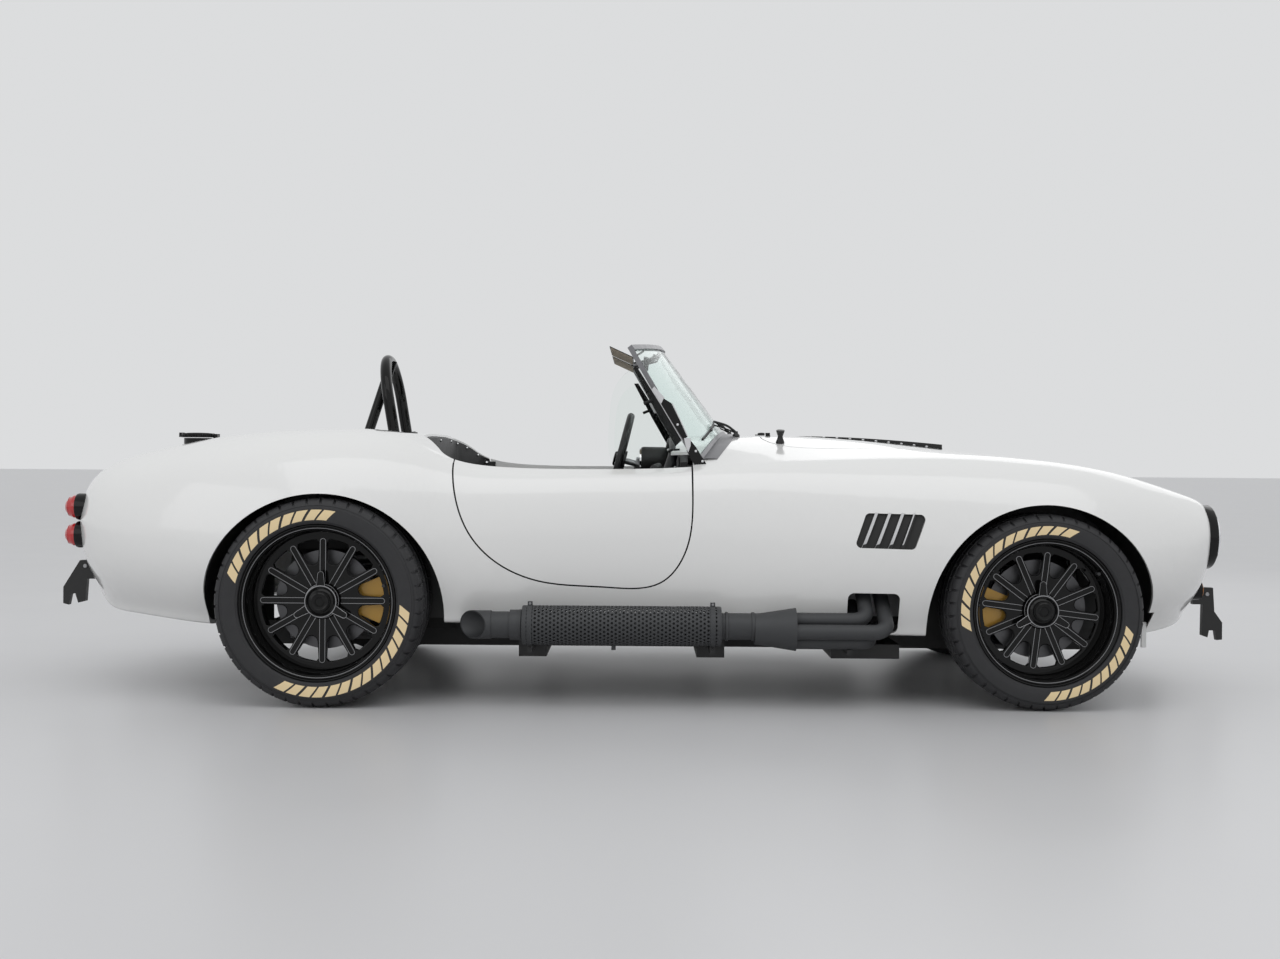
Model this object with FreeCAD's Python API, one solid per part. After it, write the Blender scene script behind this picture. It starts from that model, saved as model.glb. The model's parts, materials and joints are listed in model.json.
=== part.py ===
import FreeCAD, Part
import math
import os

from FreeCAD import Vector

# Open two-seat roadster: hollow body with doors, bonnet and boot lid, tube chassis, side pipes.
# Millimetres, X forward, Y to the car's left, Z up, origin on the floor below the middle of the car.

# Running gear
front_axle_x = 1268
rear_axle_x = -1018
front_tyre_radius = 310
rear_tyre_radius = 328
front_tyre_width = 245
rear_tyre_width = 295
front_track = 1395
rear_track = 1425
front_rim_radius = 216
rear_rim_radius = 229
rim_flange = 17
rim_skin = 7
spoke_count = 12
spoke_depth = 92
hub_bore = 24
fit_clearance = 0.05
kingpin_inset = 97.5
upright_foot = 13
disc_radius = 158
disc_thickness = 26

# Body skin and panel gaps
skin = 8
panel_gap = 5
bonnet_swing_gap = 3
front_arch_radius = 364
rear_arch_radius = 379
front_arch_centre_z = 285
rear_arch_centre_z = 290
arch_inner_y = 440

# Doors, side view
door_rear_x = -607
door_front_x = 153
door_bottom_z = 381
door_inner_y = 622
cockpit_rear_x = -745
cockpit_front_x = 105
hinge_depth = 24
hinge_ahead = 60
hinge_room = 48
hinge_pin_radius = 6
hinge_eye_radius = 11

# Bonnet, boot lid and scoop, plan view
bonnet_rear_x = 403
bonnet_front_x = 1560
bonnet_half_width = 490
boot_front_x = -1190
boot_rear_x = -1840
boot_half_width = 400
scoop_rear_x = 562
scoop_front_x = 1040
scoop_half_width = 235
scoop_height = 16
scoop_lip = 3
scoop_wall = 4

# Chassis
rail_y = 290
rail_width = 80
rail_height = 80
rail_bottom_z = 140

# Side pipes
pipe_y = 778
primary_radius = 24
header_rear_x = 470
collector_radius = 68
shield_radius = 62
shield_centre_z = 258
shield_rear_x = -382
shield_front_x = 245
shield_wall = 3
outlet_radius = 38
pipe_wall = 3
tip_rear_x = -584
tip_radius = 45

# Windscreen
screen_base = Vector(186, 600, 772)
screen_base_mid = Vector(302, 0, 880)
screen_top = Vector(-46, 556, 1160)
screen_top_mid = Vector(63, 0, 1184)
screen_rail = 18
screen_depth = 16
screen_seat = 4
glass_thickness = 6

# Cockpit
tub_wall = 10
tub_floor_z = 190
steering_wheel_radius = 185
steering_rim = 14
steering_centre = Vector(-92, 350, 778)
steering_tilt = 14
hoop_tube = 21
hoop_top_z = 1152
hoop_y = 335
hoop_half_width = 165

# Lamps
headlamp_radius = 105
headlamp_y = 575
lamp_face_x = 1853
headlamp_z = 542
tail_lamp_radius = 38
tail_lamp_y = 500
mouth_z = 404
mouth_half_width = 338
mouth_half_height = 64
indicator_radius = 33
indicator_y = 500
indicator_z = 362
hook_width = 24
seat_gap = 0.3

# Lines plan. Each station: x, floor z, floor half width, waist z, waist half width,
# crown z, crown half width, centre line z.
stations = [
    (-1918, 505, 130, 545, 200, 585, 100, 588),
    (-1911, 471, 240, 545, 370, 618, 210, 620),
    (-1890, 410, 320, 545, 470, 668, 300, 664),
    (-1852, 328, 400, 545, 560, 712, 380, 700),
    (-1795, 268, 460, 540, 635, 750, 430, 730),
    (-1700, 258, 540, 530, 705, 786, 480, 762),
    (-1550, 246, 620, 520, 772, 818, 520, 795),
    (-1395, 234, 680, 515, 832, 850, 555, 820),
    (-1200, 236, 715, 510, 864, 870, 580, 842),
    (-1018, 240, 725, 510, 872, 877, 590, 854),
    (-850, 244, 715, 515, 846, 876, 560, 862),
    (-700, 246, 700, 525, 786, 826, 575, 866),
    (-560, 246, 688, 540, 742, 752, 628, 866),
    (-200, 238, 672, 545, 716, 745, 628, 868),
    (60, 232, 674, 545, 716, 749, 628, 867),
    (250, 228, 680, 545, 722, 765, 622, 868),
    (450, 224, 690, 540, 736, 785, 602, 868),
    (650, 220, 700, 535, 762, 797, 590, 862),
    (900, 216, 706, 525, 808, 809, 590, 842),
    (1100, 214, 706, 515, 830, 805, 595, 818),
    (1268, 212, 700, 510, 834, 794, 597, 788),
    (1450, 212, 670, 505, 820, 771, 595, 742),
    (1600, 214, 610, 500, 788, 735, 588, 688),
    (1710, 222, 540, 500, 750, 699, 580, 636),
    (1785, 238, 486, 510, 714, 673, 574, 600),
    (1820, 262, 440, 528, 688, 652, 574, 572),
    (1837, 284, 408, 530, 640, 620, 556, 542),
    (1846, 298, 388, 505, 540, 566, 470, 518),
    (1864, 308, 368, 455, 440, 515, 320, 502),
    (1890, 316, 352, 422, 396, 494, 240, 492),
    (1906, 330, 326, 404, 362, 478, 210, 478),
]
sill_radius = 34
surface_pull = 0.8
nose_x = stations[-1][0]


def box(x0, x1, y0, y1, z0, z1):
    return Part.makeBox(x1 - x0, y1 - y0, z1 - z0, Vector(x0, y0, z0))


def rod(start, end, radius):
    return Part.makeCylinder(radius, (end - start).Length, start, end - start)


def mirrored(shape):
    return shape.mirror(Vector(0, 0, 0), Vector(0, 1, 0))


def both(shape):
    return Part.makeCompound([shape, mirrored(shape)])


def fuse(shapes):
    first = shapes[0]
    return first.fuse(shapes[1:]).removeSplitter()


def prism(points, direction, radius=0):
    wire = Part.makePolygon(points + [points[0]])
    face = Part.Face(wire)
    solid = face.extrude(direction)
    if radius:
        along = Vector(direction).normalize()
        edges = [
            e for e in solid.Edges
            if isinstance(e.Curve, Part.Line) and abs(e.tangentAt(e.FirstParameter).dot(along)) > 0.999
        ]
        solid = solid.makeFillet(radius, edges)
    return solid


def bent_rod(points, radius, bend):
    """A round tube's outside along straight runs joined by tangent arcs of the given bend radius."""
    edges = []
    last = points[0]
    for i in range(1, len(points) - 1):
        before = (points[i] - points[i - 1]).normalize()
        after = (points[i + 1] - points[i]).normalize()
        half_turn = before.getAngle(after) / 2
        cut = bend * math.tan(half_turn)
        a = points[i] - before * cut
        b = points[i] + after * cut
        inward = (after - before).normalize()
        middle = points[i] + inward * (bend / math.cos(half_turn) - bend)
        edges.append(Part.LineSegment(last, a).toShape())
        edges.append(Part.Arc(a, middle, b).toShape())
        last = b
    edges.append(Part.LineSegment(last, points[-1]).toShape())
    path = Part.Wire(edges)
    start = (points[1] - points[0]).normalize()
    section = Part.Wire(Part.makeCircle(radius, points[0], start))
    return path.makePipeShell([section], True, False)


def section_points(station):
    """Half section of the body from the keel to the centre line of its top."""
    x, floor_z, floor_y, waist_z, waist_y, crown_z, crown_y, centre_z = station
    corner = min(sill_radius, floor_y * 0.12)
    dome = min(max((centre_z - crown_z) / 60.0, 0.0), 1.0)
    power = 2 + 2 * dome
    side = waist_y - crown_y
    rise = crown_z - waist_z
    points = [
        (0, floor_z),
        (floor_y * 0.5, floor_z),
        (floor_y - corner, floor_z),
        (floor_y, floor_z + corner),
        (floor_y + 0.72 * (waist_y - floor_y), floor_z + 0.48 * (waist_z - floor_z)),
        (waist_y, waist_z),
        (crown_y + 0.80 * side, waist_z + 0.62 * rise),
        (crown_y + 0.42 * side, waist_z + 0.91 * rise),
        (crown_y, crown_z),
    ]
    for share in (0.62, 0.3, 0):
        points.append((crown_y * share, centre_z + (crown_z - centre_z) * share ** power))
    return [Vector(x, y, z) for y, z in points]


def full_sections():
    rows = []
    for station in stations:
        half = section_points(station)
        right = [Vector(p.x, -p.y, p.z) for p in half]
        rows.append(right + list(reversed(half))[1:])
    return rows


def mean_parameters(rows):
    """Chord length parameters shared by all rows, 0 to 1."""
    count = len(rows[0])
    steps = [0.0] * (count - 1)
    for row in rows:
        total = sum((row[i + 1] - row[i]).Length for i in range(count - 1))
        for i in range(count - 1):
            steps[i] += (row[i + 1] - row[i]).Length / total / len(rows)
    parameters = [0.0]
    for step in steps:
        parameters.append(parameters[-1] + step)
    parameters[-1] = 1.0
    return parameters


def clamped_knots(parameters):
    count = len(parameters)
    inside = [sum(parameters[j:j + 3]) / 3 for j in range(1, count - 3)]
    return [0.0] + inside + [1.0]


def pole_parameters(knots):
    """The parameter at which each pole pulls hardest."""
    full = [knots[0]] * 3 + knots + [knots[-1]] * 3
    return [sum(full[i + 1:i + 4]) / 3 for i in range(len(full) - 4)]


def skin_surface(rows):
    """One smooth surface that follows the section points."""
    u_knots = clamped_knots(mean_parameters([list(c) for c in zip(*rows)]))
    v_knots = clamped_knots(mean_parameters(rows))
    u_mults = [4] + [1] * (len(u_knots) - 2) + [4]
    v_mults = [4] + [1] * (len(v_knots) - 2) + [4]
    us = pole_parameters(u_knots)
    vs = pole_parameters(v_knots)
    surface = Part.BSplineSurface()
    poles = [list(row) for row in rows]
    for correction in range(2):
        surface.buildFromPolesMultsKnots(poles, u_mults, v_mults, u_knots, v_knots, False, False, 3, 3)
        if correction == 0:
            for i, u in enumerate(us):
                for j, v in enumerate(vs):
                    poles[i][j] = poles[i][j] + (rows[i][j] - surface.value(u, v)) * surface_pull
    return surface, us, vs


def closed_skin(surface):
    face = surface.toShape()
    first = Part.Wire(surface.uIso(surface.bounds()[0]).toShape())
    last = Part.Wire(surface.uIso(surface.bounds()[1]).toShape())
    shell = Part.makeShell([face, Part.Face(first), Part.Face(last)])
    shell.sewShape()
    solid = Part.Solid(shell)
    if solid.Volume < 0:
        solid.reverse()
    return solid


def inset_rows(surface, us, vs, depth):
    """The skin's points moved inward by the depth, square to the skin."""
    inner = []
    middle_u = us[len(us) // 2]
    waist_v = vs[5]
    sign = -1 if surface.normal(middle_u, waist_v).y > 0 else 1
    for u in us:
        row = []
        for v in vs:
            row.append(surface.value(u, v) - surface.normal(u, v) * depth * sign)
        row[0].y = 0
        row[-1] = Vector(row[0])
        inner.append(row)
    for row in (inner[0], inner[-1]):
        toward_middle = depth if row is inner[0] else -depth
        end_x = surface.value(us[0] if row is inner[0] else us[-1], 0).x
        for point in row:
            point.x = end_x + toward_middle
    return inner


def export(name, shape):
    shape.exportStep("parts/" + name + ".step")


def shifted_outline(points, distance):
    """Outline points of a counter-clockwise closed loop moved outward."""
    moved = []
    count = len(points)
    for i, point in enumerate(points):
        ahead = points[(i + 1) % count] - points[i - 1]
        ahead = ahead.normalize()
        moved.append((point[0] + ahead.y * distance, point[1] - ahead.x * distance))
    return [Vector(p[0], p[1], 0) for p in moved]


def loop_prism(points, place, low, high):
    """A smooth closed loop in the X-Y plane, mapped by place and extruded from low to high."""
    start = [place(p, low) for p in points]
    curve = Part.BSplineCurve()
    curve.interpolate(Points=start, PeriodicFlag=True)
    face = Part.Face(Part.Wire(curve.toShape()))
    return face.extrude(place(points[0], high) - place(points[0], low))


def side_place(p, depth):
    return Vector(p.x, depth, p.y)


def plan_place(p, depth):
    return Vector(p.x, p.y, depth)


def symmetric_loop(half):
    """Full counter-clockwise loop from the half outline on the positive Y side."""
    full = [Vector(x, y, 0) for x, y in half]
    full += [Vector(x, -y, 0) for x, y in reversed(half) if y > 0]
    return full


def gooseneck(throat, attach_low, attach_high, attach_depth, width):
    """Hinge arm in its own frame: eye at the origin, X toward the panel, Y inward, Z along the pin."""
    arm = 14
    points = [
        (-10, 0), (-10, throat + arm), (attach_high, throat + arm), (attach_high, attach_depth),
        (attach_low, attach_depth), (attach_low, throat), (10, throat), (10, 0),
    ]
    plate = prism([Vector(x, y, -width / 2) for x, y in points], Vector(0, 0, width))
    eye = Part.makeCylinder(hinge_eye_radius, width, Vector(0, 0, -width / 2))
    hole = Part.makeCylinder(hinge_pin_radius + fit_clearance, width * 2, Vector(0, 0, -width))
    return plate.fuse(eye).cut(hole)


def hinge_pin(width, reach):
    """Pin and its two lugs in the same frame; the lugs reach outward into the skin."""
    lug = 6
    gap = 2
    end = width / 2 + gap + lug
    pieces = [Part.makeCylinder(hinge_pin_radius, 2 * end, Vector(0, 0, -end))]
    for z in (width / 2 + gap, -width / 2 - gap - lug):
        pieces.append(box(-60, 12, -reach, 12, z, z + lug))
    return fuse(pieces)


def place_hinge(shape, origin, toward_panel, inward):
    """Puts a hinge drawn in its own frame on the car."""
    along = toward_panel.cross(inward)
    matrix = FreeCAD.Matrix(
        toward_panel.x, inward.x, along.x, origin.x,
        toward_panel.y, inward.y, along.y, origin.y,
        toward_panel.z, inward.z, along.z, origin.z,
        0, 0, 0, 1,
    )
    return shape.transformed(matrix, True)


os.makedirs("parts", exist_ok=True)

rows = full_sections()
outer_surface, us, vs = skin_surface(rows)
outer = closed_skin(outer_surface)
inner_surface, _, _ = skin_surface(inset_rows(outer_surface, us, vs, skin))
inner = closed_skin(inner_surface)
skin_solid = outer.cut(inner)


def top_z(x, y):
    """Height of the body's top above a point of the plan."""
    line = Part.LineSegment(Vector(x, y, 600), Vector(x, y, 1000)).toShape()
    return line.common(outer).BoundBox.ZMax


def side_y(x, z):
    line = Part.LineSegment(Vector(x, 300, z), Vector(x, 1000, z)).toShape()
    return line.common(outer).BoundBox.YMax


# Panel outlines
door_loop = [
    Vector(door_rear_x - 10, 900, 0), Vector(door_rear_x - 8, 760, 0), Vector(door_rear_x + 4, 670, 0),
    Vector(door_rear_x + 48, 550, 0), Vector(door_rear_x + 125, 462, 0),
    Vector(door_rear_x + 265, door_bottom_z + 14, 0), Vector(door_rear_x + 480, door_bottom_z - 6, 0),
    Vector(door_front_x - 92, door_bottom_z + 14, 0), Vector(door_front_x - 22, 490, 0),
    Vector(door_front_x, 650, 0), Vector(door_front_x, 780, 0), Vector(door_front_x - 4, 900, 0),
]
bonnet_half = [
    (bonnet_front_x, 0), (bonnet_front_x - 22, 190), (1450, 320), (1250, 412), (1000, 470),
    (760, bonnet_half_width),
    (570, bonnet_half_width - 4), (462, 450), (414, 385), (bonnet_rear_x, 250), (bonnet_rear_x, 0),
]
boot_half = [
    (boot_front_x, 0), (boot_front_x - 2, 240), (boot_front_x - 48, 360), (-1380, boot_half_width),
    (-1560, boot_half_width - 12), (-1730, 345), (-1818, 220), (boot_rear_x, 0),
]
bonnet_loop = symmetric_loop(bonnet_half)
boot_loop = symmetric_loop(boot_half)

# Body shell
shell = skin_solid
cockpit = prism([
    Vector(cockpit_rear_x, -430, 600), Vector(cockpit_rear_x + 95, -door_inner_y, 600),
    Vector(16, -door_inner_y, 600), Vector(cockpit_front_x, -470, 600),
    Vector(cockpit_front_x, 470, 600), Vector(16, door_inner_y, 600),
    Vector(cockpit_rear_x + 95, door_inner_y, 600), Vector(cockpit_rear_x, 430, 600),
], Vector(0, 0, 400), 60)


def arch(axle_x, radius, centre_z):
    round_part = Part.makeCylinder(radius, 600, Vector(axle_x, arch_inner_y, centre_z), Vector(0, 1, 0))
    legs = box(axle_x - radius, axle_x + radius, arch_inner_y, arch_inner_y + 600, 0, centre_z)
    return both(round_part.fuse(legs))


steer_room = box(front_axle_x - 384, front_axle_x + 384, 440, 690, 100, 300)
arches = [
    both(steer_room),
    arch(front_axle_x, front_arch_radius, front_arch_centre_z),
    arch(rear_axle_x, rear_arch_radius, rear_arch_centre_z),
]
belly = [box(-1690, 1640, -470, 470, 100, 300), box(-770, 890, -610, 610, 100, 300)]
door_hole = loop_prism(shifted_outline(door_loop, panel_gap), side_place, 500, 1000)
bonnet_hole = loop_prism(shifted_outline(bonnet_loop, panel_gap), plan_place, 400, 1000)
boot_hole = loop_prism(shifted_outline(boot_loop, panel_gap), plan_place, 560, 1000)
bonnet_swing = bonnet_hole.copy()
bonnet_swing.translate(Vector(bonnet_swing_gap, 0, 0))
for tool in [cockpit, door_hole, mirrored(door_hole), bonnet_hole, bonnet_swing, boot_hole] + arches + belly:
    shell = shell.cut(tool)

# Ports for the vents, the side pipes and the mouth
vent = prism([
    Vector(666, 560, 508), Vector(853, 560, 505), Vector(892, 560, 615), Vector(704, 560, 618),
], Vector(0, 400, 0), 16)
port = prism([
    Vector(650, 560, 232), Vector(813, 560, 232), Vector(813, 560, 363), Vector(650, 560, 363),
], Vector(0, 400, 0), 20)
port = port.fuse(box(688, 744, 540, 900, 180, 250))


def mouth_prism(grow, x0, x1):
    ellipse = Part.Ellipse(Vector(0, 0, 0), mouth_half_width + grow, mouth_half_height + grow)
    face = Part.Face(Part.Wire(ellipse.toShape()))
    solid = face.extrude(Vector(0, 0, x1 - x0))
    solid.rotate(Vector(0, 0, 0), Vector(1, 1, 1), 120)
    solid.translate(Vector(x0, 0, mouth_z))
    return solid


for tool in [vent, mirrored(vent), port, mirrored(port), mouth_prism(0, 1700, 1990)]:
    shell = shell.cut(tool)

# Door hinges: goosenecks on the door, pins and lugs on the shell
hinge_x = door_front_x + hinge_ahead
hinge_y = side_y(hinge_x, 560) - hinge_depth
door_skin = loop_prism(door_loop, side_place, door_inner_y, 1000)
door = outer.common(door_skin)
throat = hinge_y - door_inner_y + 18
for z in (466, 578):
    arm = gooseneck(throat, hinge_ahead + 36, hinge_ahead + 80, throat - 22, 24)
    origin = Vector(hinge_x, hinge_y, z)
    door = door.fuse(place_hinge(arm, origin, Vector(-1, 0, 0), Vector(0, -1, 0)))
    pin = place_hinge(hinge_pin(24, 40), origin, Vector(-1, 0, 0), Vector(0, -1, 0)).common(outer)
    shell = shell.fuse(pin).fuse(mirrored(pin))
export("door_left", door)
export("door_right", mirrored(door))

# Bonnet with its scoop
bonnet = skin_solid.common(loop_prism(bonnet_loop, plan_place, 450, 1000))
scoop_top = [
    (scoop_rear_x, 20), (scoop_rear_x + 150, 150), (scoop_rear_x + 320, scoop_half_width - 20),
    (scoop_front_x, scoop_half_width),
]
scoop_plan = scoop_top + [(x, -y) for x, y in reversed(scoop_top)]
scoop_low = prism([Vector(x, y, 700) for x, y in scoop_plan], Vector(0, 0, 400))
scoop_rise = math.degrees(math.atan((scoop_height - scoop_lip) / (scoop_front_x - scoop_rear_x)))
scoop_pivot = Vector(scoop_rear_x, 0, top_z(scoop_rear_x, 0))
raised = outer.copy()
raised.rotate(scoop_pivot, Vector(0, 1, 0), -scoop_rise)
raised.translate(Vector(0, 0, scoop_lip))
scoop = raised.common(scoop_low).cut(outer)
hollow = raised.copy()
hollow.translate(Vector(0, 0, -scoop_wall))
tunnel = prism([Vector(x, y * 0.94, 700) for x, y in scoop_plan], Vector(0, 0, 400))
tunnel.translate(Vector(14, 0, 0))
scoop = scoop.cut(hollow.common(tunnel))
bonnet_hinge_x = bonnet_front_x + hinge_ahead
bonnet_hinge_y = 150
z0 = top_z(bonnet_hinge_x, bonnet_hinge_y)
z1 = top_z(bonnet_hinge_x - hinge_ahead, bonnet_hinge_y)
bonnet_back = Vector(-hinge_ahead, 0, z1 - z0).normalize()
bonnet_in = bonnet_back.cross(Vector(0, 1, 0))
if bonnet_in.z > 0:
    bonnet_in = bonnet_in * -1
bonnet_axis = Vector(bonnet_hinge_x, 0, z0) + bonnet_in * hinge_depth
for y in (bonnet_hinge_y, -bonnet_hinge_y):
    origin = Vector(bonnet_axis.x, y, bonnet_axis.z)
    arm = gooseneck(56, hinge_ahead + 24, hinge_ahead + 42, -20, 24)
    bonnet = bonnet.fuse(place_hinge(arm, origin, bonnet_back, bonnet_in).common(outer))
    pin = place_hinge(hinge_pin(24, 40), origin, bonnet_back, bonnet_in).common(outer)
    shell = shell.fuse(pin)
export("bonnet", bonnet)
export("bonnet_scoop", scoop)

# Boot lid
boot = skin_solid.common(loop_prism(boot_loop, plan_place, 560, 1000))
boot_hinge_x = boot_front_x + hinge_ahead
boot_hinge_y = 190
z0 = top_z(boot_hinge_x, boot_hinge_y)
z1 = top_z(boot_hinge_x - hinge_ahead, boot_hinge_y)
boot_back = Vector(-hinge_ahead, 0, z1 - z0).normalize()
boot_in = boot_back.cross(Vector(0, 1, 0))
if boot_in.z > 0:
    boot_in = boot_in * -1
boot_axis = Vector(boot_hinge_x, 0, z0) + boot_in * hinge_depth
for y in (boot_hinge_y, -boot_hinge_y):
    origin = Vector(boot_axis.x, y, boot_axis.z)
    arm = gooseneck(46, hinge_ahead + 12, hinge_ahead + 30, -20, 24)
    boot = boot.fuse(place_hinge(arm, origin, boot_back, boot_in).common(outer))
    pin = place_hinge(hinge_pin(24, 40), origin, boot_back, boot_in).common(outer)
    shell = shell.fuse(pin)
export("boot_lid", boot)
export("body_shell", shell)


# Wheels, drawn about Z with Z outward
def ring(points):
    face = Part.Face(Part.makePolygon([Vector(r, 0, w) for r, w in points + [points[0]]]))
    return face.revolve(Vector(0, 0, 0), Vector(0, 0, 1), 360)


def wheel_solid(rim_radius, tyre_width, phase):
    half = tyre_width / 2 - 13
    inside = rim_radius - rim_skin
    flange = rim_radius + rim_flange
    rim = ring([
        (inside, -half), (flange, -half), (flange, -half + 9), (rim_radius, -half + 9),
        (rim_radius, half - 9), (flange, half - 9), (flange, half), (inside + 12, half),
        (inside + 10, half - 10), (inside, half - 14),
    ])
    face_w = half - spoke_depth
    plate = ring([(30, face_w - 24), (inside + 1, face_w - 24), (inside + 1, face_w), (30, face_w)])
    near = 74
    far = inside - 44
    wide = far * math.tan(math.pi / spoke_count) - 14
    pocket = Part.Face(Part.Wire([
        Part.Arc(Vector(near, -8, 0), Vector(near - 6, 0, 0), Vector(near, 8, 0)).toShape(),
        Part.LineSegment(Vector(near, 8, 0), Vector(far, wide, 0)).toShape(),
        Part.Arc(Vector(far, wide, 0), Vector(inside - 12, 0, 0), Vector(far, -wide, 0)).toShape(),
        Part.LineSegment(Vector(far, -wide, 0), Vector(near, -8, 0)).toShape(),
    ])).extrude(Vector(0, 0, 60))
    pocket.translate(Vector(0, 0, face_w - 40))
    cuts = []
    for i in range(spoke_count):
        one = pocket.copy()
        one.rotate(Vector(0, 0, 0), Vector(0, 0, 1), phase + (i + 0.5) * 360 / spoke_count)
        cuts.append(one)
    plate = plate.cut(cuts)
    hub = ring([(0, face_w - 24), (54, face_w - 24), (54, face_w + 12), (50, face_w + 34), (36, face_w + 40),
                (30, face_w + 48), (0, face_w + 48)])
    wheel = rim.fuse([plate, hub])
    for i in range(3):
        ear = prism([Vector(x, y, 0) for x, y in ((30, -15), (97, -9), (97, 9), (30, 15))], Vector(0, 0, 16))
        ear.translate(Vector(0, 0, face_w + 20))
        ear.rotate(Vector(0, 0, 0), Vector(0, 0, 1), phase + 120 * i)
        wheel = wheel.fuse(ear)
    bore = Part.makeCylinder(hub_bore, 44, Vector(0, 0, face_w - 24))
    return wheel.cut(bore).removeSplitter()


def tyre_solid(rim_radius, tyre_width, tyre_radius):
    half = tyre_width / 2
    bead = half - 22
    profile = [
        Vector(rim_radius, 0, -bead), Vector(rim_radius + 18, 0, -bead),
        Vector(rim_radius + 22, 0, -half + 8),
        Vector((rim_radius + tyre_radius) / 2 + 2, 0, -half), Vector(tyre_radius - 22, 0, -half + 8),
        Vector(tyre_radius - 6, 0, -half + 20), Vector(tyre_radius, 0, -half + 42),
    ]
    other = [Vector(p.x, 0, -p.z) for p in reversed(profile)]
    face = Part.Face(Part.makePolygon(profile + other + [profile[0]]))
    return face.revolve(Vector(0, 0, 0), Vector(0, 0, 1), 360)


def disc_solid(tyre_width):
    back = tyre_width / 2 - 13 - spoke_depth - 24
    return ring([
        (hub_bore + 1, back), (84, back), (84, back - 30), (disc_radius, back - 30),
        (disc_radius, back - 30 - disc_thickness), (72, back - 30 - disc_thickness), (72, back - 12),
        (hub_bore + 1, back - 12),
    ])


def caliper_solid(tyre_width, angle):
    back = tyre_width / 2 - 13 - spoke_depth - 24
    low = back - 30 - disc_thickness - 20
    high = back - 12
    block = ring([(104, low), (190, low), (190, high), (104, high)])
    sector = prism([Vector(x, y, low - 5) for x, y in ((0, 0), (260, -110), (260, 110))], Vector(0, 0, 120))
    slot = ring([(60, back - 24), (disc_radius + 6, back - 24), (disc_radius + 6, low + 14), (60, low + 14)])
    caliper = block.common(sector).cut(slot)
    caliper.rotate(Vector(0, 0, 0), Vector(0, 0, 1), angle)
    return caliper


def on_axle(shape, axle_x, track, height):
    """Turns a piece drawn about Z onto the car's left end of an axle."""
    placed = shape.copy()
    placed.rotate(Vector(0, 0, 0), Vector(1, 0, 0), -90)
    placed.translate(Vector(axle_x, track / 2, height))
    return placed


front_centre_z = front_tyre_radius
rear_centre_z = rear_tyre_radius
for end, axle_x, track, height, rim_radius, width, tyre_radius, phase in (
    ("front", front_axle_x, front_track, front_centre_z, front_rim_radius, front_tyre_width,
     front_tyre_radius, 23),
    ("rear", rear_axle_x, rear_track, rear_centre_z, rear_rim_radius, rear_tyre_width, rear_tyre_radius, 0),
):
    wheel = on_axle(wheel_solid(rim_radius, width, phase + 90), axle_x, track, height)
    tyre = on_axle(tyre_solid(rim_radius, width, tyre_radius), axle_x, track, height)
    disc = on_axle(disc_solid(width), axle_x, track, height)
    caliper = on_axle(caliper_solid(width, 180 if end == "front" else 0), axle_x, track, height)
    for side, flip in (("left", False), ("right", True)):
        for kind, shape in (("wheel", wheel), ("tyre", tyre), ("disc", disc), ("caliper", caliper)):
            if end == "front" or kind != "caliper":
                export("%s_%s_%s" % (kind, end, side), mirrored(shape) if flip else shape)
export("calipers_rear", both(caliper))


def carrier(tyre_width, spindle_foot, arm_high, arm_low, angle):
    """Hub carrier with spindle and caliper bracket, drawn about Z with Z outward."""
    back = tyre_width / 2 - 13 - spoke_depth - 24
    disc_back = back - 30 - disc_thickness
    spindle_length = back + 42 - spindle_foot
    spindle = Part.makeCylinder(hub_bore - fit_clearance, spindle_length, Vector(0, 0, spindle_foot))
    nose = Part.makeCylinder(60, disc_back - 8 - spindle_foot, Vector(0, 0, spindle_foot))
    upright = prism([
        Vector(-26, arm_low, spindle_foot), Vector(26, arm_low, spindle_foot), Vector(58, 0, spindle_foot),
        Vector(26, arm_high, spindle_foot), Vector(-26, arm_high, spindle_foot), Vector(-58, 0, spindle_foot),
    ], Vector(0, 0, 26))
    bracket = prism([Vector(x, y, 0) for x, y in ((0, -40), (150, -28), (150, 28), (0, 40))], Vector(0, 0, 12))
    bracket.rotate(Vector(0, 0, 0), Vector(0, 0, 1), angle)
    bracket.translate(Vector(0, 0, disc_back - 32))
    nose_plate = Part.makeCylinder(70, 12, Vector(0, 0, disc_back - 32))
    return fuse([spindle, nose, upright, bracket, nose_plate])


kingpin_y = front_track / 2 - kingpin_inset
front_foot = -kingpin_inset - upright_foot
front_carrier = carrier(front_tyre_width, front_foot, -112, 120, 180)
knuckle = on_axle(front_carrier, front_axle_x, front_track, front_centre_z)
steer_arm = box(front_axle_x - 140, front_axle_x - 20, kingpin_y - 12, kingpin_y + 6,
                front_centre_z - 40, front_centre_z - 16)
knuckle = knuckle.fuse(steer_arm).removeSplitter()
export("knuckle_left", knuckle)
export("knuckle_right", mirrored(knuckle))
rear_foot = front_foot - 20
rear_carrier = carrier(rear_tyre_width, rear_foot, -118, 126, 0)
rear_carrier = on_axle(rear_carrier, rear_axle_x, rear_track, rear_centre_z)
export("rear_carriers", both(rear_carrier))


# Suspension arms, dampers and chassis
def wishbone(axle_x, tip, root_y, root_z, spread, radius):
    feet = [Vector(axle_x - spread, root_y, root_z), Vector(axle_x + spread, root_y, root_z)]
    pieces = [rod(foot, tip, radius) for foot in feet]
    pieces.append(Part.makeCylinder(radius + 6, 2 * radius + 12, tip - Vector(0, 0, radius + 6)))
    pieces.append(rod(feet[0] - Vector(25, 0, 0), feet[1] + Vector(25, 0, 0), radius + 5))
    return fuse(pieces)


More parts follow.
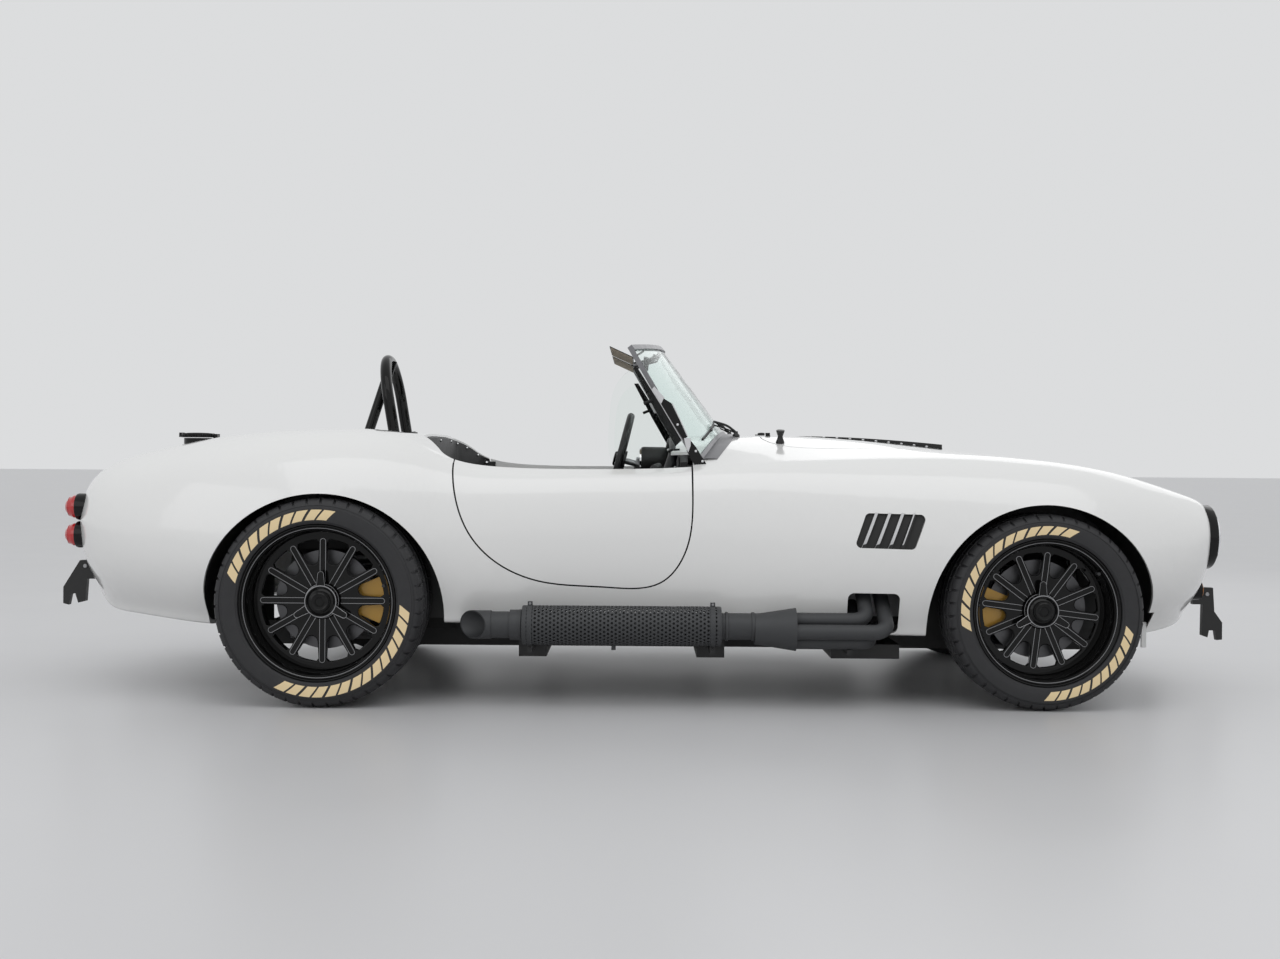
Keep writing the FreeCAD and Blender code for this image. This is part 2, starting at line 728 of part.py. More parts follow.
arm_root_y = rail_y + rail_width / 2 + 19 + seat_gap
rack_z = 270
rack_radius = 24
post_face_y = arm_root_y - 17 - seat_gap
knuckle_low_z = front_centre_z - 120
knuckle_high_z = front_centre_z + 112
low_tip = Vector(front_axle_x, kingpin_y, knuckle_low_z - 20 - seat_gap)
high_tip = Vector(front_axle_x, kingpin_y, knuckle_high_z + 18 + seat_gap)
front_low = wishbone(front_axle_x, low_tip, arm_root_y, 175, 150, 14)
front_low = front_low.fuse(box(front_axle_x - 80, front_axle_x + 80, 440, 490, 170, 186))
front_high = wishbone(front_axle_x, high_tip, arm_root_y, 410, 110, 12)
damper_low = Vector(front_axle_x, 466, 186 + 14 + seat_gap)
damper_high = Vector(front_axle_x, post_face_y + 14 + seat_gap, 478)
damper_run = damper_high - damper_low


def damper_eye(spot):
    return rod(spot - Vector(15, 0, 0), spot + Vector(15, 0, 0), 14)


front_damper = fuse([
    rod(damper_low, damper_high, 10), damper_eye(damper_low), damper_eye(damper_high),
    rod(damper_low + damper_run * 0.22, damper_low + damper_run * 0.78, 30),
])
export("front_suspension", Part.makeCompound([both(front_low), both(front_high), both(front_damper)]))
rear_tip_y = rear_track / 2 + rear_foot
low_tip = Vector(rear_axle_x, rear_tip_y - 20 - seat_gap, 226)
high_tip = Vector(rear_axle_x, rear_tip_y - 18 - seat_gap, 436)
rear_low = wishbone(rear_axle_x, low_tip, arm_root_y, 180, 160, 14)
rear_high = wishbone(rear_axle_x, high_tip, arm_root_y, 430, 120, 12)
export("rear_suspension", Part.makeCompound([both(rear_low), both(rear_high)]))
shaft = rod(Vector(rear_axle_x, 90, rear_centre_z), Vector(rear_axle_x, rear_tip_y, rear_centre_z), 19)
export("half_shafts", both(shaft))

rail_top_z = rail_bottom_z + rail_height


def bottom_z(x, y):
    """Height of the body's underside above a point of the plan."""
    line = Part.LineSegment(Vector(x, y, 100), Vector(x, y, 500)).toShape()
    return line.common(outer).BoundBox.ZMin


rail = box(-1300, 1620, rail_y - rail_width / 2, rail_y + rail_width / 2, rail_bottom_z, rail_top_z)
chassis = [rail, mirrored(rail)]
for x in (-1300, -760, -300, 420, 1520):
    chassis.append(box(x, x + 70, -rail_y, rail_y, rail_bottom_z + 10, rail_top_z - 10))
for axle_x, top in ((front_axle_x, 500), (rear_axle_x, 480)):
    for dx in (-170, 120):
        post = box(axle_x + dx, axle_x + dx + 50, rail_y - 25, post_face_y, rail_top_z, top)
        chassis += [post, mirrored(post)]
    beam = box(axle_x - 170, axle_x + 170, rail_y - 25, post_face_y, top - 80, top)
    chassis += [beam, mirrored(beam)]
differential_radius = 120
chassis.append(box(rear_axle_x - 25, rear_axle_x + 25, -rail_y, rail_y,
                   rear_centre_z + differential_radius + seat_gap, 480))
engine_bottom = 240
engine_foot = box(700, 780, 225, rail_y, rail_top_z - 10, engine_bottom - seat_gap)
chassis += [engine_foot, mirrored(engine_foot)]
shield_bottom_z = shield_centre_z - shield_radius
supports = [
    (-403, -313, -403, -313, -358, shield_bottom_z),
    (173, 263, 173, 263, 218, shield_bottom_z),
    (609, 830, 612, 680, 650, 188),
]
for x0, x1, foot_x0, foot_x1, hanger_x, hang_z in supports:
    outrigger = box(x0, x1, rail_y, 642, rail_bottom_z + 2, 188)
    low_spot = min(bottom_z(x, y) for x in (foot_x0, foot_x1) for y in (616, 642))
    body_foot = box(foot_x0, foot_x1, 616, 642, 180, low_spot - seat_gap)
    hanger = box(hanger_x - 8, hanger_x + 8, 600, pipe_y + 10, 172, 186)
    hanger = hanger.fuse(box(hanger_x - 8, hanger_x + 8, pipe_y - 10, pipe_y + 10, 172, hang_z - seat_gap))
    for piece in (outrigger, body_foot, hanger):
        chassis += [piece, mirrored(piece)]
rack_hole = rod(Vector(front_axle_x - 150, -400, rack_z), Vector(front_axle_x - 150, 400, rack_z),
                rack_radius + seat_gap)
chassis_frame = fuse(chassis).cut(rack_hole)
export("chassis_frame", chassis_frame)
differential = fuse([
    Part.makeCylinder(differential_radius, 180, Vector(rear_axle_x, -90, rear_centre_z), Vector(0, 1, 0)),
    rod(Vector(rear_axle_x + 60, 0, rear_centre_z), Vector(rear_axle_x + 240, 0, rear_centre_z), 60),
])
export("differential", differential)
engine = box(500, 1080, -240, 240, engine_bottom, 680)
export("engine_block", engine)

# Side pipes: four headers leave the engine bay, bend back and meet in the collector
headers = [
    (706, 600, 400, 0, 279),
    (766, 600, 372, 40, 246),
    (716, 560, 222, 0, 212),
    (678, 600, 310, -40, 246),
]
pipe_end_x = 380
pipe_radius = 42


def pipe_rod(start_x, end_x, radius):
    """A cylinder on the centre line of the side pipe."""
    return rod(Vector(start_x, pipe_y, shield_centre_z), Vector(end_x, pipe_y, shield_centre_z), radius)


collector_z = 250
pipe_pieces = []
for x, start_y, start_z, out, run_z in headers:
    run_y = pipe_y + out
    path = [Vector(x, start_y, start_z), Vector(x, run_y, run_z), Vector(header_rear_x, run_y, run_z)]
    pipe_pieces.append(bent_rod(path, primary_radius, 46))
pipe_pieces.append(Part.makeCone(collector_radius, pipe_radius + 6, 130,
                                 Vector(header_rear_x + 10, pipe_y, collector_z), Vector(-1, 0, 0)))
pipe_pieces.append(pipe_rod(pipe_end_x, shield_rear_x - 110, pipe_radius))
pipe = fuse(pipe_pieces)
outlet = pipe_rod(shield_rear_x - 111, shield_rear_x - 50, outlet_radius)
pipe = pipe.cut(outlet)
sleeve = pipe_rod(shield_rear_x - 98, tip_rear_x, tip_radius)
sleeve = sleeve.cut(pipe_rod(shield_rear_x - 110, tip_rear_x - 5, tip_radius - pipe_wall - 1))
sleeve = sleeve.cut(pipe_rod(shield_rear_x - 90, shield_rear_x - 111, pipe_radius - 1))
slash_x = tip_rear_x + tip_radius
slash = prism([
    Vector(slash_x - 70, pipe_y - 70, 150), Vector(slash_x + 70, pipe_y + 70, 150),
    Vector(tip_rear_x - 200, pipe_y + 70, 150), Vector(tip_rear_x - 200, pipe_y - 70, 150),
], Vector(0, 0, 220))
collar = pipe_rod(shield_rear_x - 4, shield_rear_x - 39, pipe_radius + 6)
pipe = pipe.fuse([sleeve.cut(slash), collar.cut(outlet)])
export("side_pipes", both(pipe))
shield = pipe_rod(shield_rear_x, shield_front_x, shield_radius)
shield = shield.cut(pipe_rod(shield_rear_x + 6, shield_front_x - 6, shield_radius - shield_wall))
shield = shield.cut(pipe_rod(shield_rear_x - 9, shield_front_x + 9, pipe_radius + seat_gap))
export("heat_shields", both(shield))

# Liners over the wheels
housing_wall = 4
housing_gap = 20


def housing(axle_x, radius, centre_z, wall_y, window_top):
    """A barrel with an inner wall, open round the suspension."""
    top = radius + housing_wall
    liner = Part.makeCylinder(top, 900 - wall_y, Vector(axle_x, wall_y, centre_z), Vector(0, 1, 0))
    liner = liner.fuse(box(axle_x - top, axle_x + top, wall_y, 900, 236, centre_z))
    room_y = wall_y + housing_wall
    room = Part.makeCylinder(radius, 900, Vector(axle_x, room_y, centre_z), Vector(0, 1, 0))
    room = room.fuse(box(axle_x - radius, axle_x + radius, room_y, 1000, 0, centre_z))
    window = box(axle_x - 200, axle_x + 200, wall_y - 5, room_y + 5, 0, window_top)
    return liner.cut(room).cut(window).common(inner)


front_housing = housing(front_axle_x, front_arch_radius + housing_gap + 4, front_arch_centre_z, 400, 520)
rear_housing = housing(rear_axle_x, rear_arch_radius + 6, rear_arch_centre_z, 546, 480)
export("wheel_housings", Part.makeCompound([both(front_housing), both(rear_housing)]))

# Cockpit tub: floor, side walls, tunnel and bulkheads as one moulding
tub_half = door_inner_y - hinge_room
tub_front_x = 440
tub_rear_x = cockpit_rear_x - 8
tub_waist_x = rear_axle_x + rear_arch_radius + 21
tub_rear_half = rear_track / 2 - rear_tyre_width / 2 - 25
tub_low = rail_top_z + seat_gap
seat_floor = tub_low + tub_wall + seat_gap
tub = [
    box(tub_waist_x, tub_front_x, -tub_half, tub_half, tub_low, tub_low + tub_wall),
    box(tub_rear_x, tub_waist_x, -tub_rear_half, tub_rear_half, tub_low, tub_low + tub_wall),
    box(tub_rear_x, tub_rear_x + tub_wall, -tub_rear_half, tub_rear_half, tub_low, 790),
    box(tub_front_x - tub_wall, tub_front_x, -tub_half, tub_half, tub_low, 740),
]
for wall_y in (-1, 1):
    for x0, x1, half in ((tub_waist_x, tub_front_x, tub_half), (tub_rear_x, tub_waist_x, tub_rear_half)):
        tub.append(box(x0, x1, min(wall_y * half, wall_y * (half - tub_wall)),
                       max(wall_y * half, wall_y * (half - tub_wall)), tub_low, 700))
    step_ys = sorted((wall_y * tub_half, wall_y * (tub_rear_half - tub_wall)))
    tub.append(box(tub_waist_x, tub_waist_x + tub_wall, step_ys[0], step_ys[1], tub_low, 700))
tunnel_half = 125
tunnel_top = 430
tunnel_room = box(tub_rear_x - 5, tub_front_x + 5, tub_wall - tunnel_half, tunnel_half - tub_wall,
                  0, tunnel_top - tub_wall)
tunnel = box(tub_rear_x, tub_front_x, -tunnel_half, tunnel_half, tub_low, tunnel_top).cut(tunnel_room)
tub_solid = fuse(tub + [tunnel]).cut(tunnel_room)
export("cockpit_tub", tub_solid)


def seat(y):
    base = box(-560, -90, y - 180, y + 180, seat_floor, 350)
    base = base.makeFillet(35, [e for e in base.Edges if e.BoundBox.ZLength > 100])
    back = prism([
        Vector(-560, y - 180, 350 + seat_gap), Vector(-450, y - 180, 350 + seat_gap),
        Vector(-600, y - 180, 735), Vector(-680, y - 180, 735),
    ], Vector(0, 360, 0))
    return fuse([base, back])


export("seats", both(seat(345)))

# Steering: wheel rim, spokes and column
tilt = math.radians(steering_tilt)
column_axis = Vector(-math.cos(tilt), 0, math.sin(tilt))
rim_ring = Part.makeTorus(steering_wheel_radius - steering_rim, steering_rim, steering_centre, column_axis)
spokes = [rim_ring, rod(steering_centre - column_axis * 22, steering_centre + column_axis * 12, 38)]
for turn in (90, 210, 330):
    arm = Vector(0, math.cos(math.radians(turn)), math.sin(math.radians(turn)))
    along = Vector(math.sin(tilt), 0, math.cos(tilt)) * arm.z + Vector(0, 1, 0) * arm.y
    spokes.append(rod(steering_centre, steering_centre + along * (steering_wheel_radius - steering_rim), 8))
socket = rod(steering_centre - column_axis * 30, steering_centre - column_axis * 2, 12 + fit_clearance)
wheel = fuse(spokes).cut(socket)
export("steering_wheel", wheel)
column_length = (tub_front_x - tub_wall - steering_centre.x) / math.cos(tilt) - 4
column = fuse([
    rod(steering_centre - column_axis * 2, steering_centre - column_axis * column_length, 12),
    rod(steering_centre - column_axis * 60, steering_centre - column_axis * 262, 26),
])
export("steering_column", column)
dash_half = tub_half - tub_wall - seat_gap
dash = box(118, 142, -dash_half, dash_half, 600, 830).common(inner)
dash = dash.cut(rod(steering_centre - column_axis * 150, steering_centre - column_axis * 330, 26 + seat_gap))
export("dashboard", dash)
lever = fuse([
    rod(Vector(-60, 0, tunnel_top - 2), Vector(-150, 0, 590), 8),
    rod(Vector(-146, 0, 580), Vector(-156, 0, 616), 20),
])
export("gear_lever", lever.cut(tub_solid))
rack = rod(Vector(front_axle_x - 150, -310, rack_z), Vector(front_axle_x - 150, 310, rack_z), rack_radius)
export("steering_rack", rack)

# Roll hoop behind the driver
hoop_x = -930
hoop_foot_z = top_z(hoop_x, hoop_y) - 30
hoop_top_x = hoop_x - 54
hoop = bent_rod([
    Vector(hoop_x, hoop_y - hoop_half_width, hoop_foot_z),
    Vector(hoop_top_x, hoop_y - hoop_half_width, hoop_top_z),
    Vector(hoop_top_x, hoop_y + hoop_half_width, hoop_top_z),
    Vector(hoop_x, hoop_y + hoop_half_width, hoop_foot_z),
], hoop_tube, hoop_half_width * 0.95)
brace = rod(Vector(hoop_top_x + 14, hoop_y, hoop_top_z), Vector(-1072, hoop_y, hoop_foot_z), 19)
export("roll_hoop", hoop.fuse(brace).cut(outer))

# Windscreen
def arc3(a, b, c):
    return Part.Arc(a, b, c).toShape()


def flip(p):
    return Vector(p.x, -p.y, p.z)


def cowl_curve():
    """Runs over the cowl from side to side, just under the skin so that the frame seats in it."""
    points = []
    for i in range(-4, 5):
        share = i / 4
        x = screen_base.x + (screen_base_mid.x - screen_base.x) * (1 - share ** 2)
        y = screen_base.y * share
        points.append(Vector(x, y, top_z(x, y) - screen_seat))
    curve = Part.BSplineCurve()
    curve.interpolate(points)
    return curve.toShape(), points[0], points[-1]


def moved(shape, offset):
    copy = shape.copy()
    copy.translate(offset)
    return copy


low_arc, foot_right, foot_left = cowl_curve()
high_arc = arc3(flip(screen_top), screen_top_mid, screen_top)
screen_up = (screen_top_mid - screen_base_mid).normalize()
screen_normal = screen_up.cross(Vector(0, 1, 0)).normalize()
low_band = Part.makeRuledSurface(low_arc, moved(low_arc, screen_up * (screen_rail + screen_seat)))
high_band = Part.makeRuledSurface(moved(high_arc, screen_up * -screen_rail), high_arc)
screen_frame = low_band.extrude(screen_normal * screen_depth)
screen_frame = screen_frame.fuse(high_band.extrude(screen_normal * screen_depth))
for foot, head, inward in ((foot_left, screen_top, -1), (foot_right, flip(screen_top), 1)):
    across = Vector(0, inward * screen_rail, 0)
    leg = prism([foot, head, head + across, foot + across], screen_normal * screen_depth)
    screen_frame = screen_frame.fuse(leg)
screen_frame = screen_frame.cut(outer)
export("windscreen_frame", screen_frame)
glass_inset = screen_normal * (screen_depth - glass_thickness) / 2
glass_face = moved(Part.makeRuledSurface(low_arc, high_arc), glass_inset)
glass = glass_face.extrude(screen_normal * glass_thickness).cut(screen_frame).cut(outer)
glass = max(glass.Solids, key=lambda s: s.Volume)
export("windscreen_glass", glass)

# Lamps
def headlamp():
    back = Vector(lamp_face_x - 90, headlamp_y, headlamp_z)
    barrel = Part.makeCylinder(headlamp_radius, 90, back, Vector(1, 0, 0))
    return barrel.cut(outer)


def dome(radius, height, base_x, y, z):
    """A shallow lens that bulges forward from its base."""
    lens = ring([(0, 0), (radius, 0), (radius * 0.93, height * 0.42), (radius * 0.72, height * 0.75),
                 (radius * 0.38, height * 0.95), (0, height)])
    lens.rotate(Vector(0, 0, 0), Vector(0, 1, 0), 90)
    lens.translate(Vector(base_x, y, z))
    return lens


export("headlamps", both(headlamp()))
lamp_glass = dome(headlamp_radius - 12, 24, lamp_face_x + seat_gap, headlamp_y, headlamp_z)
export("headlamp_lenses", both(lamp_glass))
indicator = Part.makeCylinder(indicator_radius, 70, Vector(1782, indicator_y, indicator_z), Vector(1, 0, 0))
export("front_indicators", both(indicator.cut(outer)))
tail = []
tail_face_x = -1925
body_behind = outer.copy()
body_behind.translate(Vector(-seat_gap, 0, 0))
for z in (519, 611):
    lens = ring([
        (0, 0), (tail_lamp_radius, 0), (tail_lamp_radius, 60), (tail_lamp_radius - 6, 74),
        (tail_lamp_radius - 18, 85), (0, 90),
    ])
    lens.rotate(Vector(0, 0, 0), Vector(0, 1, 0), -90)
    lens.translate(Vector(tail_face_x + 90, tail_lamp_y, z))
    tail.append(lens.cut(body_behind))
export("tail_lamps", both(Part.makeCompound(tail)))
grille = mouth_prism(46, nose_x - 40, nose_x - 34).common(inner)
export("grille", grille)
front_hook = [
    (1880, 300), (1880, 350), (1921, 358), (1949, 357), (1954, 276), (1981, 238), (1981, 180), (1962, 178),
    (1957, 211), (1936, 211), (1931, 187), (1912, 194), (1914, 300),
]
rear_hook = [
    (-1870, 360), (-1870, 418), (-1900, 424), (-1925, 423), (-1981, 332), (-1981, 276), (-1962, 271),
    (-1955, 307),
    (-1940, 310), (-1930, 278), (-1905, 284), (-1900, 360),
]
hooks = []
for outline, y in ((front_hook, 340), (rear_hook, 350)):
    blade = prism([Vector(x, y - hook_width / 2, z) for x, z in outline], Vector(0, hook_width, 0))
    hooks.append(both(blade))
export("jack_hooks", Part.makeCompound(hooks).cut(outer))
bar_width = 11
vent_back = prism([
    Vector(646, 560, 496), Vector(862, 560, 493), Vector(904, 560, 627), Vector(692, 560, 630),
], Vector(0, 400, 0))
shifted_inner = inner.copy()
shifted_inner.translate(Vector(0, -5, 0))
vent_plate = inner.common(vent_back).cut(shifted_inner)
vent_bars = []
for low_x, high_x in ((687, 731), (728, 772), (769, 812), (806, 850)):
    blade = prism([Vector(low_x, 560, 500), Vector(low_x + bar_width, 560, 500),
                   Vector(high_x + bar_width, 560, 624), Vector(high_x, 560, 624)], Vector(0, 400, 0))
    vent_bars.append(blade.common(skin_solid).common(vent))
side_vent = vent_plate.fuse(vent_bars)
export("side_vents", both(side_vent))
cap_x = -1500
cap_y = -450
cap_z = top_z(cap_x, cap_y)
neck = Part.makeCylinder(46, 48, Vector(cap_x, cap_y, cap_z - 30))
cap_pin = Vector(cap_x + 62, cap_y, cap_z + 25)
for y in (10, -16):
    neck = neck.fuse(box(cap_x + 34, cap_x + 69, cap_y + y, cap_y + y + 6, cap_z - 20, cap_z + 14))
    neck = neck.fuse(box(cap_x + 55, cap_x + 69, cap_y + y, cap_y + y + 6, cap_z - 20, cap_z + 32))
neck = neck.fuse(rod(cap_pin - Vector(0, 16, 0), cap_pin + Vector(0, 16, 0), 3)).cut(outer)
export("fuel_neck", neck)
cap = Part.makeCylinder(54, 14, Vector(cap_x, cap_y, cap_z + 20))
cap = cap.cut(box(cap_x + 50, cap_x + 60, cap_y - 20, cap_y + 20, cap_z, cap_z + 60))
cap = cap.fuse(box(cap_x + 40, cap_x + 62, cap_y - 7, cap_y + 7, cap_z + 20, cap_z + 30))
cap = cap.fuse(rod(cap_pin - Vector(0, 7, 0), cap_pin + Vector(0, 7, 0), 7))
cap = cap.cut(rod(cap_pin - Vector(0, 20, 0), cap_pin + Vector(0, 20, 0), 3 + fit_clearance))
export("fuel_cap", cap)
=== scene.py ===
import json
import math

import bpy
import numpy as np
from mathutils import Matrix, Vector
from mathutils.bvhtree import BVHTree


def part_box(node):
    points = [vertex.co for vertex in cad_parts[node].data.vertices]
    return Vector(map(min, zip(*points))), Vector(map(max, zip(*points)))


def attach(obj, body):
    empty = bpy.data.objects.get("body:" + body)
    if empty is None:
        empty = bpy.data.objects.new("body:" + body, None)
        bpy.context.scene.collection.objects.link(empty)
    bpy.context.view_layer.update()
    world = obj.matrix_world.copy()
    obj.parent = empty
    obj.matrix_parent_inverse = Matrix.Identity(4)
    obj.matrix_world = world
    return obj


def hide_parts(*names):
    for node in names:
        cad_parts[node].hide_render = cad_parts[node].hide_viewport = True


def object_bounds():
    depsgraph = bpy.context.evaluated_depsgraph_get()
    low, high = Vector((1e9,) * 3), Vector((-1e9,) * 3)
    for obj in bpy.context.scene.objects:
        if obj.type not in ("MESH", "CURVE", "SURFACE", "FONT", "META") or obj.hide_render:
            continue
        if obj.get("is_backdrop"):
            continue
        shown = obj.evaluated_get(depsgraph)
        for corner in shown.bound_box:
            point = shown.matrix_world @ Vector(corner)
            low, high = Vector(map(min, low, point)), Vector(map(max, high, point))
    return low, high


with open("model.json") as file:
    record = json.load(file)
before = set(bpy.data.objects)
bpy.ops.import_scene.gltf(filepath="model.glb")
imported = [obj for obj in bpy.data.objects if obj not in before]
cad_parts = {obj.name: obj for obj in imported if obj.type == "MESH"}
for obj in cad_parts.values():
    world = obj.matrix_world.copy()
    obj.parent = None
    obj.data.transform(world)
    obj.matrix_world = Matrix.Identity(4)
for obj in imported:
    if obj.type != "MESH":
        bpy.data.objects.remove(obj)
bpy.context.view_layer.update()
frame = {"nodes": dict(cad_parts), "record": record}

scene = bpy.context.scene
nodes = frame["nodes"]
sides = (("left", 1), ("right", -1))
ends = ("front", "rear")
full_turn = 2 * math.pi


# Materials
def material(name, colour, rough=0.5, metal=0.0, coat=0.0, grain=0.0, grain_scale=60.0, bump=0.0,
             bump_scale=200.0, transmission=0.0, ior=1.5, sheen=0.0, emission=None, alpha=1.0):
    """A principled material with a procedural change of roughness and a procedural bump."""
    mat = bpy.data.materials.new(name)
    mat.use_nodes = True
    tree = mat.node_tree
    shader = tree.nodes["Principled BSDF"]
    shader.inputs["Base Color"].default_value = (*colour, 1)
    shader.inputs["Roughness"].default_value = rough
    shader.inputs["Metallic"].default_value = metal
    shader.inputs["Coat Weight"].default_value = coat
    shader.inputs["Coat Roughness"].default_value = 0.03
    shader.inputs["Transmission Weight"].default_value = transmission
    shader.inputs["IOR"].default_value = ior
    shader.inputs["Sheen Weight"].default_value = sheen
    shader.inputs["Alpha"].default_value = alpha
    if emission:
        shader.inputs["Emission Color"].default_value = (*emission[0], 1)
        shader.inputs["Emission Strength"].default_value = emission[1]
    where = tree.nodes.new("ShaderNodeTexCoord")
    if grain:
        noise = tree.nodes.new("ShaderNodeTexNoise")
        noise.inputs["Scale"].default_value = grain_scale
        noise.inputs["Detail"].default_value = 4
        tree.links.new(where.outputs["Object"], noise.inputs["Vector"])
        ramp = tree.nodes.new("ShaderNodeMapRange")
        ramp.inputs["To Min"].default_value = max(rough - grain, 0.02)
        ramp.inputs["To Max"].default_value = min(rough + grain, 1.0)
        tree.links.new(noise.outputs["Fac"], ramp.inputs["Value"])
        tree.links.new(ramp.outputs["Result"], shader.inputs["Roughness"])
    if bump:
        fine = tree.nodes.new("ShaderNodeTexNoise")
        fine.inputs["Scale"].default_value = bump_scale
        fine.inputs["Detail"].default_value = 3
        tree.links.new(where.outputs["Object"], fine.inputs["Vector"])
        lift = tree.nodes.new("ShaderNodeBump")
        lift.inputs["Strength"].default_value = bump
        lift.inputs["Distance"].default_value = 0.002
        tree.links.new(fine.outputs["Fac"], lift.inputs["Height"])
        tree.links.new(lift.outputs["Normal"], shader.inputs["Normal"])
    return mat


paint = material("gloss_white_paint", (0.84, 0.84, 0.83), 0.22, coat=1.0, grain=0.03, grain_scale=4)
gloss_black = material("gloss_black_paint", (0.004, 0.004, 0.004), 0.07, ior=1.36, grain=0.03, grain_scale=9)
satin_black = material("satin_black_paint", (0.014, 0.014, 0.014), 0.42, grain=0.06, grain_scale=30,
                       bump=0.05)
exhaust_grey = material("ceramic_grey", (0.055, 0.057, 0.060), 0.55, metal=0.3, grain=0.08, grain_scale=25,
                        bump=0.12, bump_scale=420)
rubber = material("tyre_rubber", (0.024, 0.024, 0.026), 0.62, grain=0.10, grain_scale=35, bump=0.10,
                  bump_scale=300)
cream = material("cream_mark", (0.86, 0.68, 0.40), 0.6, grain=0.05, grain_scale=80)
iron = material("brake_iron", (0.13, 0.13, 0.135), 0.38, metal=0.9, grain=0.10, grain_scale=60)
gold = material("gold_caliper", (0.60, 0.33, 0.04), 0.32, metal=0.2, coat=0.5, grain=0.04)
steel_black = material("chassis_black", (0.018, 0.018, 0.018), 0.55, grain=0.08, bump=0.08)
plated = material("plated_steel", (0.36, 0.36, 0.37), 0.34, metal=1.0, grain=0.08, grain_scale=40)
cast = material("cast_alloy", (0.33, 0.33, 0.34), 0.5, metal=0.9, grain=0.1, bump=0.25, bump_scale=260)
leather = material("black_leather", (0.016, 0.016, 0.017), 0.46, grain=0.08, grain_scale=45, bump=0.35,
                   bump_scale=380)
carpet = material("black_carpet", (0.012, 0.012, 0.012), 0.95, sheen=0.3, grain=0.05, bump=0.9,
                  bump_scale=900)
vinyl = material("black_vinyl", (0.014, 0.014, 0.014), 0.5, grain=0.07, bump=0.25, bump_scale=300)
clear_glass = material("clear_glass", (0.90, 0.97, 0.95), 0.01, transmission=1.0, ior=1.12, grain=0.005)
frame_metal = material("screen_frame_metal", (0.24, 0.24, 0.25), 0.38, metal=0.85, grain=0.08, grain_scale=30)
chrome = material("bright_metal", (0.82, 0.82, 0.83), 0.08, metal=1.0, grain=0.03)
lens_clear = material("lamp_lens", (0.95, 0.97, 0.98), 0.03, transmission=1.0, ior=1.3, grain=0.01)
lens_red = material("red_lens", (0.42, 0.006, 0.008), 0.12, coat=1.0, grain=0.03,
                    emission=((0.5, 0.0, 0.0), 0.08))
lens_amber = material("amber_lens", (0.75, 0.26, 0.02), 0.15, coat=1.0, grain=0.03)
mesh_black = material("black_mesh", (0.01, 0.01, 0.01), 0.5, grain=0.05)
dial_face = material("dial_face", (0.012, 0.012, 0.013), 0.4, grain=0.04)
dial_mark = material("dial_mark", (0.75, 0.75, 0.72), 0.5, grain=0.04)
bright_satin = material("bright_satin", (0.70, 0.70, 0.71), 0.32, metal=0.45, grain=0.05)
lamp_glass = material("lamp_glass", (0.97, 0.98, 1.0), 0.02, transmission=1.0, ior=1.25, grain=0.01)
thin_glass = material("thin_clear_sheet", (0.97, 0.99, 0.98), 0.01, transmission=1.0, ior=1.04, grain=0.005)
beige = material("beige_lining", (0.55, 0.47, 0.36), 0.8, grain=0.06, bump=0.2)
dark_inside = material("dark_inside", (0.01, 0.01, 0.01), 0.85, grain=0.05, bump=0.2)

looks = {
    "paint": paint, "gloss_black": gloss_black, "satin_black": satin_black, "exhaust": exhaust_grey,
    "tyre": rubber, "disc": iron, "caliper": gold, "steel": steel_black, "suspension": plated, "engine": cast,
    "leather": leather, "carpet": carpet, "dash": vinyl, "glass": clear_glass, "frame": frame_metal,
    "lamp": lens_clear, "tail_lens": lens_red, "mesh": mesh_black, "steering_rim": leather,
}

for part in frame["record"]["subparts"]:
    node = nodes[part["node"]]
    look = looks[part["material_slot"]]
    node.data.materials.clear()
    node.data.materials.append(look)


# Mesh helpers
def add_mesh(name, verts, faces, mat, body="root", slot=None, angle=35):
    mesh = bpy.data.meshes.new(name)
    mesh.from_pydata([tuple(map(float, v)) for v in verts], [], [tuple(map(int, f)) for f in faces])
    mesh.validate()
    mesh.update()
    obj = bpy.data.objects.new(name, mesh)
    scene.collection.objects.link(obj)
    mesh.materials.append(mat)
    mesh.polygons.foreach_set("use_smooth", [True] * len(mesh.polygons))
    mesh.set_sharp_from_angle(angle=math.radians(angle))
    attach(obj, body)
    return obj


class Batch:
    """Several small shapes that become one piece."""

    def __init__(self):
        self.verts = []
        self.faces = []

    def add(self, verts, faces):
        start = len(self.verts)
        self.verts += [tuple(v) for v in verts]
        self.faces += [tuple(i + start for i in f) for f in faces]

    def make(self, name, mat, body="root", slot=None, angle=35):
        return add_mesh(name, self.verts, self.faces, mat, body, slot, angle)


def basis(axis):
    """Two directions square to the axis."""
    axis = Vector(axis).normalized()
    side = Vector((0, 0, 1)) if abs(axis.z) < 0.9 else Vector((1, 0, 0))
    u = axis.cross(side).normalized()
    return u, axis.cross(u).normalized(), axis


def lathe(profile, centre, axis, segments=40):
    """Verts and faces of a profile of (radius, height) turned about the axis."""
    u, v, w = basis(axis)
    centre = Vector(centre)
    verts, faces = [], []
    for i in range(segments):
        a = full_turn * i / segments
        out = u * math.cos(a) + v * math.sin(a)
        for r, h in profile:
            verts.append(centre + out * r + w * h)
    n = len(profile)
    for i in range(segments):
        j = (i + 1) % segments
        for k in range(n - 1):
            faces.append((i * n + k, j * n + k, j * n + k + 1, i * n + k + 1))
    return verts, faces


def shifted(profile, r, h):
    """A profile of (radius, height) moved out by r and along by h."""
    return [(r + a, h + b) for a, b in profile]


def between(lower, upper):
    """The solid between two outlines that have the same number of points."""
    n = len(lower)
    faces = [tuple(reversed(range(n))), tuple(range(n, 2 * n))]
    for i in range(n):
        j = (i + 1) % n
        faces.append((i, j, j + n, i + n))
    return lower + upper, faces


